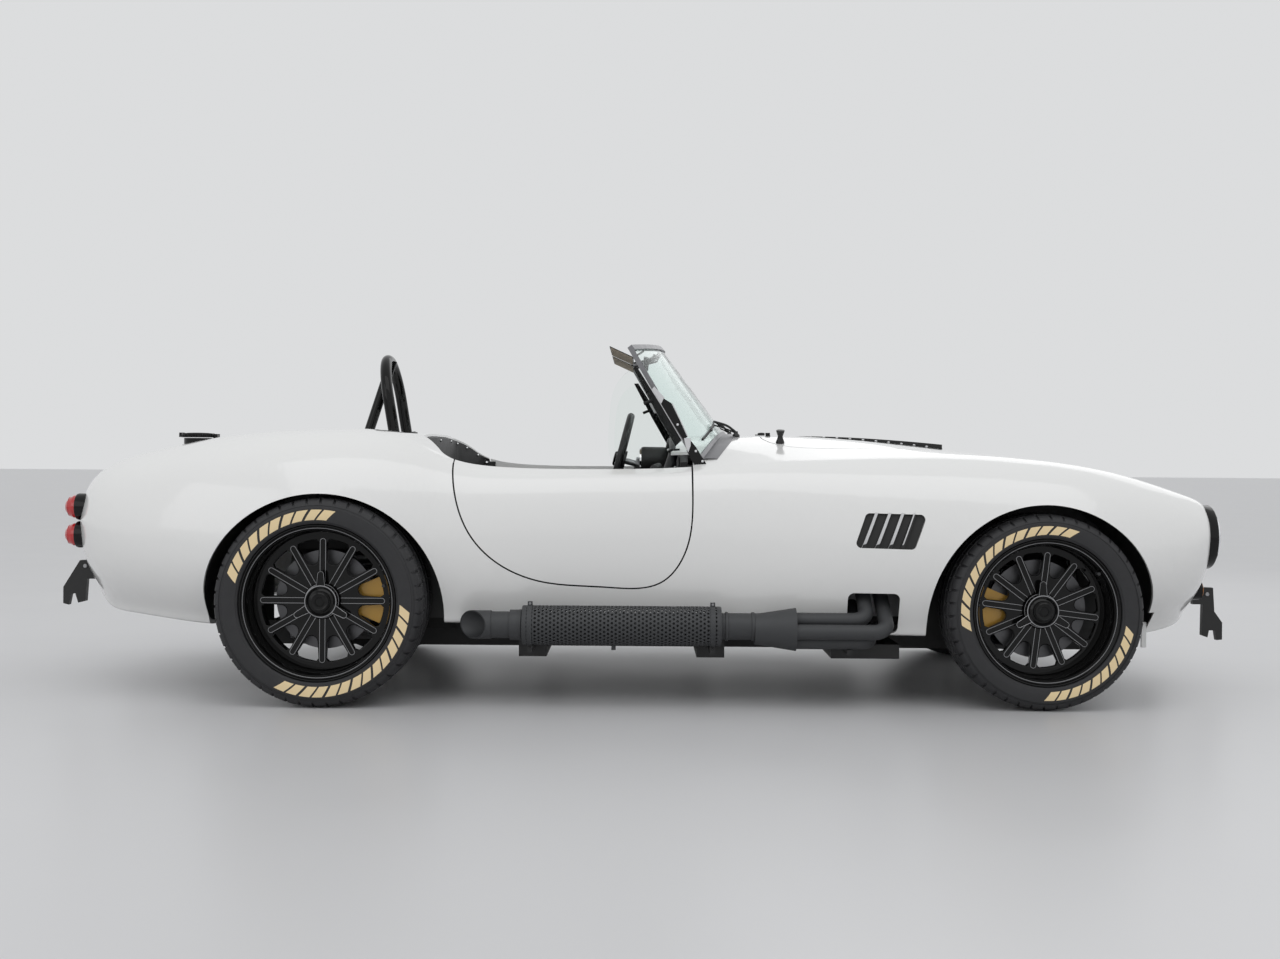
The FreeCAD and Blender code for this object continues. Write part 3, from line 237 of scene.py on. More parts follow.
def box_shape(low, high):
    x0, y0, z0 = low
    x1, y1, z1 = high
    plan = ((x0, y0), (x1, y0), (x1, y1), (x0, y1))
    return between([(x, y, z0) for x, y in plan], [(x, y, z1) for x, y in plan])


def bar(x0, x1, y, half, z0, z1):
    """A box that reaches as far to both sides of y."""
    return box_shape((x0, y - half, z0), (x1, y + half, z1))


def curve_point(a, b, c, d, t):
    """A point between b and c on the smooth curve through four points."""
    straight = (2 * b) + (c - a) * t
    bend = (2 * a - 5 * b + 4 * c - d) * t * t
    twist = (3 * b - a - 3 * c + d) * t ** 3
    return 0.5 * (straight + bend + twist)


def path_points(points, steps=8):
    """A smooth path through the points."""
    p = [Vector(q) for q in points]
    p = [p[0] * 2 - p[1]] + p + [p[-1] * 2 - p[-2]]
    out = []
    for i in range(1, len(p) - 2):
        out += [curve_point(p[i - 1], p[i], p[i + 1], p[i + 2], s / steps) for s in range(steps)]
    out.append(p[-2])
    return out


def sweep(points, section, up=None):
    """A section of (a, b) offsets carried along the points."""
    pts = [Vector(q) for q in points]
    last = len(pts) - 1
    n = len(section)
    verts, faces = [], []
    side = None
    for i, p in enumerate(pts):
        t = (pts[min(i + 1, last)] - pts[max(i - 1, 0)]).normalized()
        if side is None:
            guide = Vector(up) if up else (Vector((0, 0, 1)) if abs(t.z) < 0.9 else Vector((0, 1, 0)))
            side = t.cross(guide).normalized()
        side = (side - t * side.dot(t)).normalized()
        other = side.cross(t).normalized()
        for a, b in section:
            verts.append(p + side * a + other * b)
    for i in range(0, last * n, n):
        for k in range(n):
            m = (k + 1) % n
            faces.append((i + k, i + m, i + n + m, i + n + k))
    faces.append(tuple(reversed(range(n))))
    faces.append(tuple(range(last * n, (last + 1) * n)))
    return verts, faces


def circle(radius, n=12):
    return [(radius * math.cos(full_turn * i / n), radius * math.sin(full_turn * i / n)) for i in range(n)]


def arc(radius, first, last, steps):
    angles = [first + (last - first) * i / steps for i in range(steps + 1)]
    return [(radius * math.cos(a), radius * math.sin(a)) for a in angles]


def tube(points, radius, n=12, smooth_steps=0):
    pts = path_points(points, smooth_steps) if smooth_steps else points
    return sweep(pts, circle(radius, n))


def screw_head(centre, axis, radius, height, socket=True):
    """A round screw head, with a hexagon socket or domed."""
    profile = [(radius, 0), (radius, height * 0.6), (radius * 0.85, height)]
    if socket:
        profile += [(radius * 0.5, height), (radius * 0.5, height * 0.45), (0.0001, height * 0.45)]
    else:
        profile += [(radius * 0.5, height * 1.15), (0.0001, height * 1.2)]
    return lathe(profile, centre, axis, 14)


def hexagon(centre, axis, radius, height):
    profile = [(radius, 0), (radius, height * 0.8), (radius * 0.86, height), (0.0001, height)]
    return lathe(profile, centre, axis, 6)


def soften(obj, width):
    """Rounds the sharp edges of a piece."""
    soft = obj.modifiers.new("soft_edges", "BEVEL")
    soft.width = width
    soft.segments = 2
    soft.limit_method = "ANGLE"


# Running gear data from the CAD frame
rim_radius = {"front": 0.216, "rear": 0.229}


def wheel_place(end, side):
    """Middle, radius and half width of a tyre."""
    low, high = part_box("tyre_%s_%s" % (end, side))
    middle = (low + high) / 2
    return middle, (high.z - low.z) / 2, (high.y - low.y) / 2


# Tyres
tread_pitches = 46
tread_steps = (0.0, 0.80, 0.845, 0.955)
slot_depth = 0.006
wall_rows = 13
shoulder = [(0.019, 0.007, 0.25), (0.0125, 0.0105, 0.7), (0.0065, 0.019, 1), (0.0028, 0.03, 1)]
tread = [(0.0012, 0.66, 1), (0.0011, 0.65, 2), (0.008, 0.64, 2), (0.008, 0.58, 2), (0.0008, 0.57, 2),
         (0.0006, 0.56, 1), (0.0004, 0.26, 1), (0.0004, 0.25, 2), (0.008, 0.24, 2), (0.008, 0.17, 2),
         (0.0002, 0.16, 2), (0.0001, 0.15, 3), (0.0001, 0, 3)]


def tyre_profile(rim, radius, half):
    """Half section from the bead to the middle of the tread: (radius, offset, land)."""
    wall = shifted([(0.001, -0.012), (0.012, 0), (0.018, 0.004)], rim, half - 0.022)
    wall += shifted([(0.0195, -0.009), (0.0245, -0.006), (0.0255, -0.0045)], rim, half)
    wall += shifted([(-0.012, -0.0022), (0.002, -0.0014), (0.018, -0.0022)], (rim + radius) / 2, half)
    wall += shifted([(-0.030, -0.0045), (-0.0235, -0.0068), (-0.0228, -0.0054)], radius, half)
    section = [(r, w, 0) for r, w in wall]
    section += [(radius - r, half - w, land) for r, w, land in shoulder]
    return section + [(radius - r, half * w, land) for r, w, land in tread]


def sidewall_offset(profile, r):
    """How far the sidewall stands out at a radius."""
    wall = profile[:wall_rows]
    return float(np.interp(r, [p[0] for p in wall], [p[1] for p in wall]))


def build_tyre(end, side, sign):
    """The tread piece; gives the tyre's middle, profile and body."""
    middle, radius, half = wheel_place(end, side)
    profile = tyre_profile(rim_radius[end], radius, half)
    full = profile + [(r, -w, land) for r, w, land in reversed(profile[:-1])]
    columns = tread_pitches * len(tread_steps)
    verts = []
    for c in range(columns):
        pitch, step = divmod(c, len(tread_steps))
        for r, w, land in full:
            slant = 0.35 * abs(w) / half
            a = full_turn * (pitch + tread_steps[step] + slant) / tread_pitches
            if step > 1 and land in (0.25, 0.7, 1):
                r -= slot_depth * land
            verts.append((middle.x + r * math.sin(a), middle.y + w * sign, middle.z + r * math.cos(a)))
    n = len(full)
    faces = []
    for c in range(columns):
        d = (c + 1) % columns
        for k in range(n - 1):
            quad = (c * n + k, d * n + k, d * n + k + 1, c * n + k + 1)
            faces.append(quad if sign > 0 else tuple(reversed(quad)))
    body = "%s_%s_wheel" % (end, side)
    tyre = add_mesh("tyre_tread_%s_%s" % (end, side), verts, faces, rubber, body, "tyre", 28)
    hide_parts("tyre_%s_%s" % (end, side))
    return middle, profile, body


# Plain cream bars on the outer sidewalls
mark_arcs = {"front": ((192, 71, 7), (-10, -91, 5)), "rear": ((165, 80, 5), (-2, -115, 7))}
mark_along = 5
mark_across = 4


def curved_block_faces(along, across):
    """Faces of a grid above, a grid below and the edge between them."""
    row = across + 1
    under = (along + 1) * row
    faces = []
    for s in range(along):
        for t in range(across):
            quad = (s * row + t, (s + 1) * row + t, (s + 1) * row + t + 1, s * row + t + 1)
            faces.append(quad)
            faces.append(tuple(under + k for k in reversed(quad)))
    edge = [s * row for s in range(along)] + [along * row + t for t in range(across)]
    edge += [s * row + across for s in range(along, 0, -1)] + list(range(across, 0, -1))
    for p, q in zip(edge, edge[1:] + edge[:1]):
        faces.append((q, p, p + under, q + under))
    return faces


def side_mark(middle, sign, profile, reach, turn, slant):
    """One slanted bar that follows the sidewall, between two radii and two angles."""
    top, low = [], []
    for s in range(mark_along + 1):
        for t in range(mark_across + 1):
            share = t / mark_across
            r = reach[0] + (reach[1] - reach[0]) * share
            a = math.radians(turn[0] + (turn[1] - turn[0]) * s / mark_along + (share - 0.5) * slant)
            for grid, lift in ((top, 0.0009), (low, -0.0004)):
                y = middle.y + sign * (sidewall_offset(profile, r) + lift)
                grid.append((middle.x + r * math.cos(a), y, middle.z + r * math.sin(a)))
    return top + low, curved_block_faces(mark_along, mark_across)


def side_marks(end, side, sign, middle, profile, body):
    batch = Batch()
    reach = (rim_radius[end] + 0.0305, profile[-1][0] - 0.036)
    for first, last, count in mark_arcs[end]:
        pitch = (last - first) / count
        for i in range(count):
            start = first + pitch * (i + 0.06)
            width = pitch * 0.88
            for lo, hi in ((0.0, 0.44), (0.54, 1.0)):
                turn = (start + width * lo, start + width * hi)
                batch.add(*side_mark(middle, sign, profile, reach, turn, 0.30 * pitch))
    batch.make("side_marks_%s_%s" % (end, side), cream, body, None, 30)


for end in ends:
    for side, sign in sides:
        side_marks(end, side, sign, *build_tyre(end, side, sign))


# Surfaces of the CAD nodes, for placing pieces on them
surfaces = {}


def hit(name, start, direction):
    """Point and normal where a line from outside meets a node."""
    if name not in surfaces:
        place = nodes[name].matrix_world
        points = [place @ v.co for v in nodes[name].data.vertices]
        surfaces[name] = BVHTree.FromPolygons(points, [tuple(p.vertices) for p in nodes[name].data.polygons])
    return surfaces[name].ray_cast(Vector(start), Vector(direction))[:2]


def top_of(name, x, y):
    return hit(name, (x, y, 2.0), (0, 0, -1))


def side_of(name, x, z, sign):
    return hit(name, (x, sign * 2.0, z), (0, -sign, 0))


def front_of(name, y, z, sign=1):
    return hit(name, (sign * 3.0, y, z), (-sign, 0, 0))


def flat_plate(points, y, thickness, side):
    """A plate cut to an outline in side view, standing at one side of the car."""
    inner = [(x, side * y, z) for x, z in points]
    outer = [(x, side * (y + thickness), z) for x, z in points]
    return between(inner, outer) if side < 0 else between(outer, inner)


def soft_outline(points, steps):
    """A closed outline made smooth through its points."""
    p = [Vector((x, z, 0)) for x, z in points]
    n = len(p)
    out = []
    for i in range(n):
        for s in range(steps):
            q = curve_point(p[i - 1], p[i], p[(i + 1) % n], p[(i + 2) % n], s / steps)
            out.append((q.x, q.y))
    return out


def strip_faces(rows, closed=False):
    """Faces of a thin strip whose rows have four points over and four under."""
    faces = []
    for i in range(0, (rows - 1) * 8, 8):
        for a in (i, i + 2, i + 4):
            faces += [(a, a + 2, a + 10, a + 8), (a + 9, a + 11, a + 3, a + 1)]
        faces.append((i + 6, i + 7, i + 15, i + 14))
        if closed:
            faces.append((i, i + 8, i + 9, i + 1))
    return faces


# Wheels: rim, spokes with raised edges, hub, nut with three ears, caps and valve stems; bright metal lines on
# the spoke edges, the ear edges and the rim lip are painted highlights
def plates(outlines, thickness, edge):
    """Flat plates cut to closed outlines, with holes where one outline lies in another."""
    curve = bpy.data.curves.new("outline", "CURVE")
    curve.dimensions = "2D"
    curve.fill_mode = "BOTH"
    curve.extrude = thickness / 2 - edge
    curve.bevel_depth = edge
    curve.bevel_resolution = 2
    curve.offset = -edge
    for outline in outlines:
        spline = curve.splines.new("POLY")
        spline.points.add(len(outline) - 1)
        for point, (x, y) in zip(spline.points, outline):
            point.co = (x, y, 0, 1)
        spline.use_cyclic_u = True
    obj = bpy.data.objects.new("outline", curve)
    scene.collection.objects.link(obj)
    depsgraph = bpy.context.evaluated_depsgraph_get()
    mesh = bpy.data.meshes.new_from_object(obj.evaluated_get(depsgraph))
    verts = [v.co.copy() for v in mesh.vertices]
    faces = [tuple(f.vertices) for f in mesh.polygons]
    bpy.data.objects.remove(obj)
    bpy.data.meshes.remove(mesh)
    bpy.data.curves.remove(curve)
    return verts, faces


def turned(points, angle):
    c, s = math.cos(angle), math.sin(angle)
    return [(x * c - y * s, x * s + y * c) for x, y in points]


def window_outline(grow):
    """One opening between two spokes, pointing along X: round towards the hub, wide at the rim."""
    centre, round_r, reach, corner = 0.138 * grow, 0.0205 * grow, 0.1945 * grow, 0.010
    half_spoke = 0.0125
    lean = math.radians(15)
    points = [(centre + x, y) for x, y in arc(round_r, math.radians(105), math.radians(255), 10)]
    near = reach - corner
    near_angle = lean - math.asin(half_spoke / near)
    points.append((near * math.cos(near_angle), -near * math.sin(near_angle)))
    turn = lean - math.asin(half_spoke / reach) - corner * 0.8 / reach
    points += arc(reach, -turn, turn, 8)
    points.append((near * math.cos(near_angle), near * math.sin(near_angle)))
    return points


def ear_outline():
    """One ear of the knock-off nut, pointing along X."""
    flank = [(0.030, 0.0135), (0.050, 0.0130), (0.078, 0.0100)]
    tip = [(0.0865 + x, y) for x, y in arc(0.0095, math.radians(-80), math.radians(80), 8)]
    return [(x, -y) for x, y in flank] + tip + flank[::-1]


def spoke_highlight_outline(tip):
    """The raised line round one spoke, pointing along X; drawn in bright metal as a painted highlight on the
    spoke edge.
    """
    half = 0.0085
    flank = [(0.058, half), (tip * 0.65, half), (tip, half)]
    end_arc = [(tip + x, y) for x, y in arc(half, math.radians(-60), math.radians(60), 4)]
    return [(x, -y) for x, y in flank] + end_arc + flank[::-1]


spoke_count = 12
spoke_pitch = 30
spoke_depth = 0.092
plate_thickness = 0.024
wheel_phase = {"front": 23, "rear": 0}
highlight_line_section = [(-0.0011, -0.002), (0.0011, -0.002), (0.0007, 0.0014), (-0.0007, 0.0014)]
rim_lip = [(-0.001, -0.012), (0.0155, -0.0045), (0.0168, -0.002), (0.0150, -0.0004), (0.0115, -0.0012),
           (0.0085, -0.0050), (0.0045, -0.0062), (0.0015, -0.0090), (-0.0030, -0.0180), (-0.0068, -0.0260),
           (-0.0070, -0.0300)]
rim_well = [(-0.0070, 0.008), (-0.0090, 0.001), (-0.0090, -0.024), (-0.0070, -0.030)]
rim_back = [(-0.0070, 0.020), (0.0020, 0.010), (0.0150, 0.0006), (0.0166, 0.003), (-0.001, 0.012)]
hub_profile = [(0.060, -0.001), (0.0575, 0.004), (0.0545, 0.008), (0.0535, 0.012), (0.0505, 0.0335),
               (0.0490, 0.0350), (0.0445, 0.0355), (0.0430, 0.0340), (0.0415, 0.0355), (0.0370, 0.0395),
               (0.0335, 0.0410), (0.0320, 0.0470), (0.0305, 0.0478), (0.0001, 0.0478)]
cap_profile = [(0.0300, 0.0475), (0.0290, 0.0530), (0.0255, 0.0548), (0.0235, 0.0535), (0.0160, 0.0535),
               (0.0150, 0.0545), (0.0130, 0.0545), (0.0120, 0.0532), (0.0001, 0.0532)]
foot_ring = [(0.0528, 0.0105), (0.0545, 0.0120), (0.0540, 0.0140), (0.0522, 0.0145)]
nut_ring = [(0.0500, 0.0345), (0.0505, 0.0362), (0.0480, 0.0366), (0.0472, 0.0352)]
lip_highlight_ring = [(0.0055, -0.0058), (0.0052, -0.0048), (0.0040, -0.0050), (0.0035, -0.0066)]
stem_profile = [(0.0045, -0.004), (0.0045, 0.016), (0.0052, 0.018), (0.0052, 0.027), (0.0001, 0.028)]


def build_wheel(end, side, sign):
    middle, _, half_tyre = wheel_place(end, side)
    half = half_tyre - 0.013
    face = half - spoke_depth
    rim = rim_radius[end]
    grow = rim / rim_radius["rear"]
    phase = math.radians(wheel_phase[end])
    name = "%s_%s" % (end, side)
    body = name + "_wheel"
    axis = (0, sign, 0)
    wheel = Batch()
    # Thin bright metal lines along the spoke edges and the ear edges: painted highlights on the gloss black
    # wheel
    lines = Batch()
    ring = Batch()

    def place(verts, faces, height):
        out = [(middle.x + v.x, middle.y + sign * (height + v.z), middle.z + v.y) for v in verts]
        wheel.add(out, faces if sign < 0 else [tuple(reversed(f)) for f in faces])

    def standing(points, height):
        return [(middle.x + x, middle.y + sign * height, middle.z + y) for x, y in points]

    loop = shifted(rim_lip, rim, half) + shifted(rim_well, rim, face)
    loop += shifted(rim_back, rim, -half) + shifted(rim_lip[:1], rim, half)
    wheel.add(*lathe(loop[::-1], middle, axis, 96))
    outlines = [circle(rim - 0.0078, 96)]
    for i in range(spoke_count):
        a = phase + math.radians(spoke_pitch * i)
        outlines.append(turned(window_outline(grow), phase + math.radians(spoke_pitch * (i + 0.5))))
        line = standing(turned(spoke_highlight_outline(0.1885 * grow), a), face + 0.0002)
        lines.add(*sweep(line, highlight_line_section, up=axis))
    place(*plates(outlines, plate_thickness, 0.0035), face - plate_thickness / 2)
    wheel.add(*lathe(shifted(hub_profile, 0, face), middle, axis, 72))
    ears = [turned(ear_outline(), math.radians(90 + 120 * i)) for i in range(3)]
    place(*plates(ears, 0.015, 0.0042), face + 0.0285)
    for ear in ears:
        lines.add(*tube(standing([(x * 0.985, y * 0.985) for x, y in ear[1:-1]], face + 0.0352), 0.0009, 6))
    lines.make("spoke_and_ear_highlight_lines_" + name, plated, body)
    piece = wheel.make("road_wheel_" + name, gloss_black, body, "gloss_black", 32)
    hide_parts("wheel_" + name)
    ring.add(*lathe(shifted(foot_ring, 0, face), middle, axis, 56))
    ring.add(*lathe(shifted(nut_ring, 0, face), middle, axis, 56))
    # Bright metal ring on the rim lip: a painted highlight of the lip's rounded edge
    ring.add(*lathe(shifted(lip_highlight_ring, rim, half), middle, axis, 96))
    ring.make("hub_rings_and_lip_highlight_" + name, plated, body)
    add_mesh("hub_cap_" + name, *lathe(shifted(cap_profile, 0, face), middle, axis, 48), gloss_black, body)
    stem = turned([(rim - 0.014, 0)], phase + math.radians(spoke_pitch / 2))
    foot = standing(stem, half_tyre - 0.034)[0]
    add_mesh("valve_" + name, *lathe(stem_profile, foot, axis, 12), rubber, body)


for end in ends:
    for side, sign in sides:
        build_wheel(end, side, sign)


# Side pipes: perforated shields, end collars, clamps with their screws
shield_x0 = -0.382
shield_x1 = 0.245
shield_r = 0.062
pipe_y = 0.778
pipe_z = 0.258
strap_places = (-0.358, 0.218)
band_places = ((-0.389, 0.0485), (0.262, 0.0455), (0.345, 0.0455))
holes_around = 28
holes_along = 50
hole_radius = 0.0043
ahead = (1, 0, 0)
astern = (-1, 0, 0)


def perforated_shield(name, side):
    """Tube of staggered round holes; each cell is a ring round one hole."""
    x0 = shield_x0 + 0.012
    pitch = (shield_x1 - 0.012 - x0) / holes_along
    turn = full_turn / holes_around
    batch = Batch()

    def on_tube(x, a, r):
        return (x, side * pipe_y + r * math.cos(a), pipe_z + r * math.sin(a))

    for i in range(holes_along):
        for k in range(holes_around):
            a = (k + (0.5 if i % 2 else 0.0)) * turn
            x = x0 + (i + 0.5) * pitch
            edge_out, edge_in, wall_in = [], [], []
            for eighth in range(1, 9):
                q = math.radians(45 * eighth)
                c, s = math.cos(q), math.sin(q)
                m = max(abs(c), abs(s))
                edge_out.append(on_tube(x + c / m * pitch / 2, a + s / m * turn / 2, shield_r))
                edge_in.append(on_tube(x + c * hole_radius, a + s * hole_radius / shield_r, shield_r))
                wall_in.append(on_tube(x + c * hole_radius, a + s * hole_radius / shield_r,
                                       shield_r - 0.0022))
            faces = []
            for n in range(8):
                m = (n + 1) % 8
                faces += [(n, m, m + 8, n + 8), (n + 8, m + 8, m + 16, n + 16)]
            batch.add(edge_out + edge_in + wall_in, faces)
    for x, out in ((shield_x0, -1), (shield_x1, 1)):
        rim = [(shield_r, -out * 0.012), (shield_r, -out * 0.003), (shield_r - 0.002, 0), (0.0475, 0),
               (0.0475, -out * 0.006)]
        batch.add(*lathe(rim[::-out], (x, side * pipe_y, pipe_z), ahead, 56))
    shield = batch.make("perforated_shield_" + name, exhaust_grey, "root", "exhaust", 40)
    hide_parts("heat_shields")


for side_name, side in sides:
    perforated_shield(side_name, side)
clamps = Batch()
clamp_screws = Batch()
flanges = Batch()
strap = shifted([(0.0004, -0.008), (0.0024, -0.0075), (0.0024, 0.0075), (0.0004, 0.008)], shield_r, 0)
for _, side in sides:
    y = side * pipe_y
    for x in strap_places:
        clamps.add(*lathe(strap, (x, y, pipe_z), ahead, 56))
        for up in (1, -1):
            low, high = sorted((pipe_z + up * (shield_r + 0.001), pipe_z + up * (shield_r + 0.0125)))
            clamps.add(*bar(x - 0.0075, x + 0.0075, y, 0.006, low, high))
            spot = (x, side * (pipe_y + 0.006), pipe_z + up * (shield_r + 0.0065))
            clamp_screws.add(*screw_head(spot, (0, side, 0), 0.0042, 0.004))
    clamps.add(*bar(-0.101, -0.087, y, 0.006, pipe_z - shield_r - 0.015, pipe_z - shield_r - 0.0005))
    for x, r in band_places:
        band = [(0.0425, -0.005), (r, -0.004), (r, 0.004), (0.0425, 0.005)]
        flanges.add(*lathe(band, (x, y, pipe_z), ahead, 40))
clamps.make("shield_clamps", exhaust_grey, "root", "exhaust")
clamp_screws.make("shield_screws", plated)
flanges.make("pipe_bands", exhaust_grey, "root", "exhaust")


# Side vents: bright slanted blades
vent_low_z = 0.504
vent_high_z = 0.620
vent_top_z = 0.603
vent_rows = 6
blade_places = ((0.687, 0.731, 0.0095), (0.728, 0.772, 0.0095), (0.769, 0.812, 0.0095), (0.808, 0.850, 0.004))
blades = Batch()
for _, side in sides:
    for low_x, high_x, width in blade_places:
        verts, faces = [], []
        for i in range(vent_rows + 1):
            share = i / vent_rows
            x = low_x + (high_x - low_x) * share
            z = vent_low_z + (vent_high_z - vent_low_z) * share
            places = [(x + step * 0.004, min(z, vent_top_z)) for step in range(-2, 6)]
            near = [side_of("side_vents", *place, side)[0] for place in places]
            skin = max(abs(point.y) for point in near if point is not None) + 0.0012
            far = x + width * (1.0 if share > 0.1 else 0.4)
            verts += [(x, side * skin, z), (far, side * skin, z), (far, side * (skin - 0.003), z),
                      (x, side * (skin - 0.003), z)]
        for i in range(0, vent_rows * 4, 4):
            for k in range(4):
                m = (k + 1) % 4
                face = (i + k, i + m, i + 4 + m, i + 4 + k)
                faces.append(face if side < 0 else tuple(reversed(face)))
        faces += [(3, 2, 1, 0), (24, 25, 26, 27)]
        blades.add(verts, faces)
blades.make("vent_blades", bright_satin)


# Headlamps: black rings, reflectors with flutes, domed glass
lamp_x = 1.853
lamp_y = 0.575
lamp_z = 0.542
lamp_r = 0.105
bowl_r = lamp_r - 0.012
glass_r = lamp_r - 0.0125
dome_height = 0.0235
glass_thickness = 0.002
flute_pitch = 0.0115
ring_profile = shifted([(0, -0.032), (0, -0.006), (-0.003, -0.001), (-0.007, 0.0), (-0.0115, -0.002),
                        (-0.0125, -0.006)], lamp_r, 0)
bulb_profile = [(0.020, -0.002), (0.019, 0.008), (0.014, 0.012), (0.0001, 0.013)]
bowl = []
for i in range(9):
    r = bowl_r * (1 - i / 8)
    bowl.append((max(r, 0.0001), -0.0015 - 0.0022 * (1 - (r / bowl_r) ** 2)))
outside, inside = [], []
for r, h in arc(1, 0, math.pi / 2, 10):
    outside.append((max(glass_r * r, 0.0001), dome_height * h))
    inside.append((max(glass_r * r - glass_thickness, 0.0001), max(dome_height * h - glass_thickness, 0.0)))
rings = Batch()
reflectors = Batch()
lenses = Batch()
flutes = Batch()
for _, side in sides:
    place = (lamp_x, side * lamp_y, lamp_z)
    rings.add(*lathe(ring_profile, place, ahead, 64))
    reflectors.add(*lathe(bowl, place, ahead, 64))
    reflectors.add(*lathe(bulb_profile, place, ahead, 32))
    lenses.add(*lathe(outside + inside[::-1], place, ahead, 64))
    for i in range(-7, 8):
        y = i * flute_pitch
        reach = math.sqrt(0.088 ** 2 - y ** 2)
        low, high = lamp_z - reach, lamp_z + reach
        flutes.add(*bar(lamp_x - 0.0008, lamp_x + 0.0006, side * lamp_y + y, 0.0007, low, high))
lamp_rings = rings.make("headlamp_rings", gloss_black, "root", "gloss_black")
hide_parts("headlamps")
reflectors.make("headlamp_reflectors", chrome)
lens_piece = lenses.make("headlamp_glass", lamp_glass, "root", "lamp")
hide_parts("headlamp_lenses")
flutes.make("headlamp_flutes", lamp_glass)

# Indicators and tail lamps
amber_profile = [(0.0285, 0.0002), (0.027, 0.003), (0.019, 0.0065), (0.008, 0.008), (0.0001, 0.0083)]
bezel_profile = [(0.0385, -0.034), (0.0440, -0.030), (0.0450, 0.006), (0.0430, 0.012), (0.0395, 0.013),
                 (0.0384, 0.008)]
rib_profile = [(0.0322, 0.0004), (0.0322, 0.0016), (0.0300, 0.0022), (0.0300, 0.0006)]
small_lamp_y = 0.500
amber = Batch()
bezels = Batch()
ribs = Batch()
for _, side in sides:
    amber.add(*lathe(amber_profile, (1.852, side * small_lamp_y, 0.362), ahead, 40))
    for z in (0.519, 0.611):
        bezels.add(*lathe(bezel_profile, (-1.872, side * small_lamp_y, z), astern, 48))
        ribs.add(*lathe(rib_profile, (-1.909, side * small_lamp_y, z), astern, 48))
amber.make("indicator_lenses", lens_amber)
bezels.make("tail_lamp_bezels", gloss_black)
ribs.make("tail_lamp_ribs", lens_red)

# Grille: crossed bars behind the mouth, with a dark core behind them
grille_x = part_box("grille")[0].x
mouth_z = 0.404
half_w, half_h = 0.375, 0.088
bar_pitch = 0.0122
bar_half = 0.0009
shortest_bar = 0.012


def mouth_reach(offset, half_across, half_along):
    return half_along * math.sqrt(max(1 - (offset / half_across) ** 2, 0))


grid = Batch()
for i in range(-30, 31):
    reach = mouth_reach(i * bar_pitch, half_w, half_h)
    if reach > shortest_bar:
        low, high = mouth_z - reach, mouth_z + reach
        grid.add(*bar(grille_x + 0.003, grille_x + 0.006, i * bar_pitch, bar_half, low, high))
for i in range(-7, 8):
    z = mouth_z + i * bar_pitch
    reach = mouth_reach(i * bar_pitch, half_h, half_w)
    if reach > shortest_bar:
        grid.add(*bar(grille_x + 0.0005, grille_x + 0.003, 0, reach, z - bar_half, z + bar_half))
grid_piece = grid.make("grille_mesh", mesh_black, "root", "mesh")
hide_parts("grille")
core = Batch()
core.add(*bar(grille_x - 0.075, grille_x - 0.045, 0, 0.34, 0.325, 0.480))
for i in range(-26, 27):
    core.add(*bar(grille_x - 0.045, grille_x - 0.041, i * 0.0126, 0.0004, 0.330, 0.475))
core.make("radiator_core", dark_inside)


# Bonnet: scoop flange with its rivets, latches and washer nozzles
scoop_plan = [(0.562, 0.020), (0.600, 0.062), (0.650, 0.108), (0.712, 0.150), (0.790, 0.188), (0.882, 0.215),
              (0.960, 0.227), (1.040, 0.235)]
flange_width = 0.026
rivet_count = 10
rivet_pitch = 0.043
latch_profile = [(0.0145, -0.001), (0.0145, 0.003), (0.0115, 0.012), (0.0085, 0.020), (0.0088, 0.025),
                 (0.0120, 0.034), (0.0142, 0.041), (0.0140, 0.044), (0.0060, 0.0450), (0.0001, 0.0452)]
nozzle_profile = [(0.0085, -0.001), (0.0080, 0.004), (0.0030, 0.007), (0.0001, 0.008)]
flange = Batch()
rivets = Batch()
latches = Batch()
nozzles = Batch()
scoop_line = path_points([(x, y, 0) for x, y in scoop_plan], 4)
last = len(scoop_line) - 1
for _, side in sides:
    verts = []
    for i, p in enumerate(scoop_line):
        along = scoop_line[min(i + 1, last)] - scoop_line[max(i - 1, 0)]
        out = Vector((-along.y, along.x, 0)).normalized()
        for share in (-0.25, 0.0, 0.5, 1.0):
            q = p + out * flange_width * share
            point, normal = top_of("bonnet", q.x, side * q.y)
            verts.append(point + normal * (0.0024 if share < 0.9 else 0.0016))
            verts.append(point - normal * 0.0005)
    faces = strip_faces(len(scoop_line))
    flange.add(verts, [tuple(reversed(f)) for f in faces] if side > 0 else faces)
    for i in range(rivet_count):
        x = 0.597 + i * rivet_pitch
        y = float(np.interp(x, [p[0] for p in scoop_plan], [p[1] for p in scoop_plan])) + flange_width * 0.62
        point, normal = top_of("bonnet", x, side * y)
        rivets.add(*screw_head(point + normal * 0.0016, normal, 0.0048, 0.0034, False))
    latches.add(*lathe(latch_profile, *top_of("bonnet", 0.458, side * 0.420), 32))
    point, normal = top_of("bonnet", 0.430, side * 0.250)
    nozzles.add(*lathe(nozzle_profile, point, normal, 20))
    nozzles.add(*bar(point.x - 0.009, point.x + 0.007, point.y, 0.004, point.z + 0.004, point.z + 0.011))
flange.make("scoop_flange", gloss_black, "bonnet")
rivets.make("scoop_rivets", bright_satin, "bonnet")
latches.make("bonnet_latches", satin_black, "bonnet")
nozzles.make("washer_nozzles", gloss_black, "bonnet")
boot_point, boot_normal = top_of("boot_lid", -1.755, 0)
handle = Batch()
handle.add(*lathe([(0.018, -0.001), (0.017, 0.005), (0.008, 0.009), (0.007, 0.018), (0.0001, 0.019)],
                  boot_point, boot_normal, 28))
grip = boot_point + boot_normal * 0.019
handle.add(*tube([grip + Vector((0, y, 0)) for y in (-0.034, -0.02, 0.02, 0.034)], 0.0062, 14))
handle.make("boot_handle", gloss_black, "boot_lid")


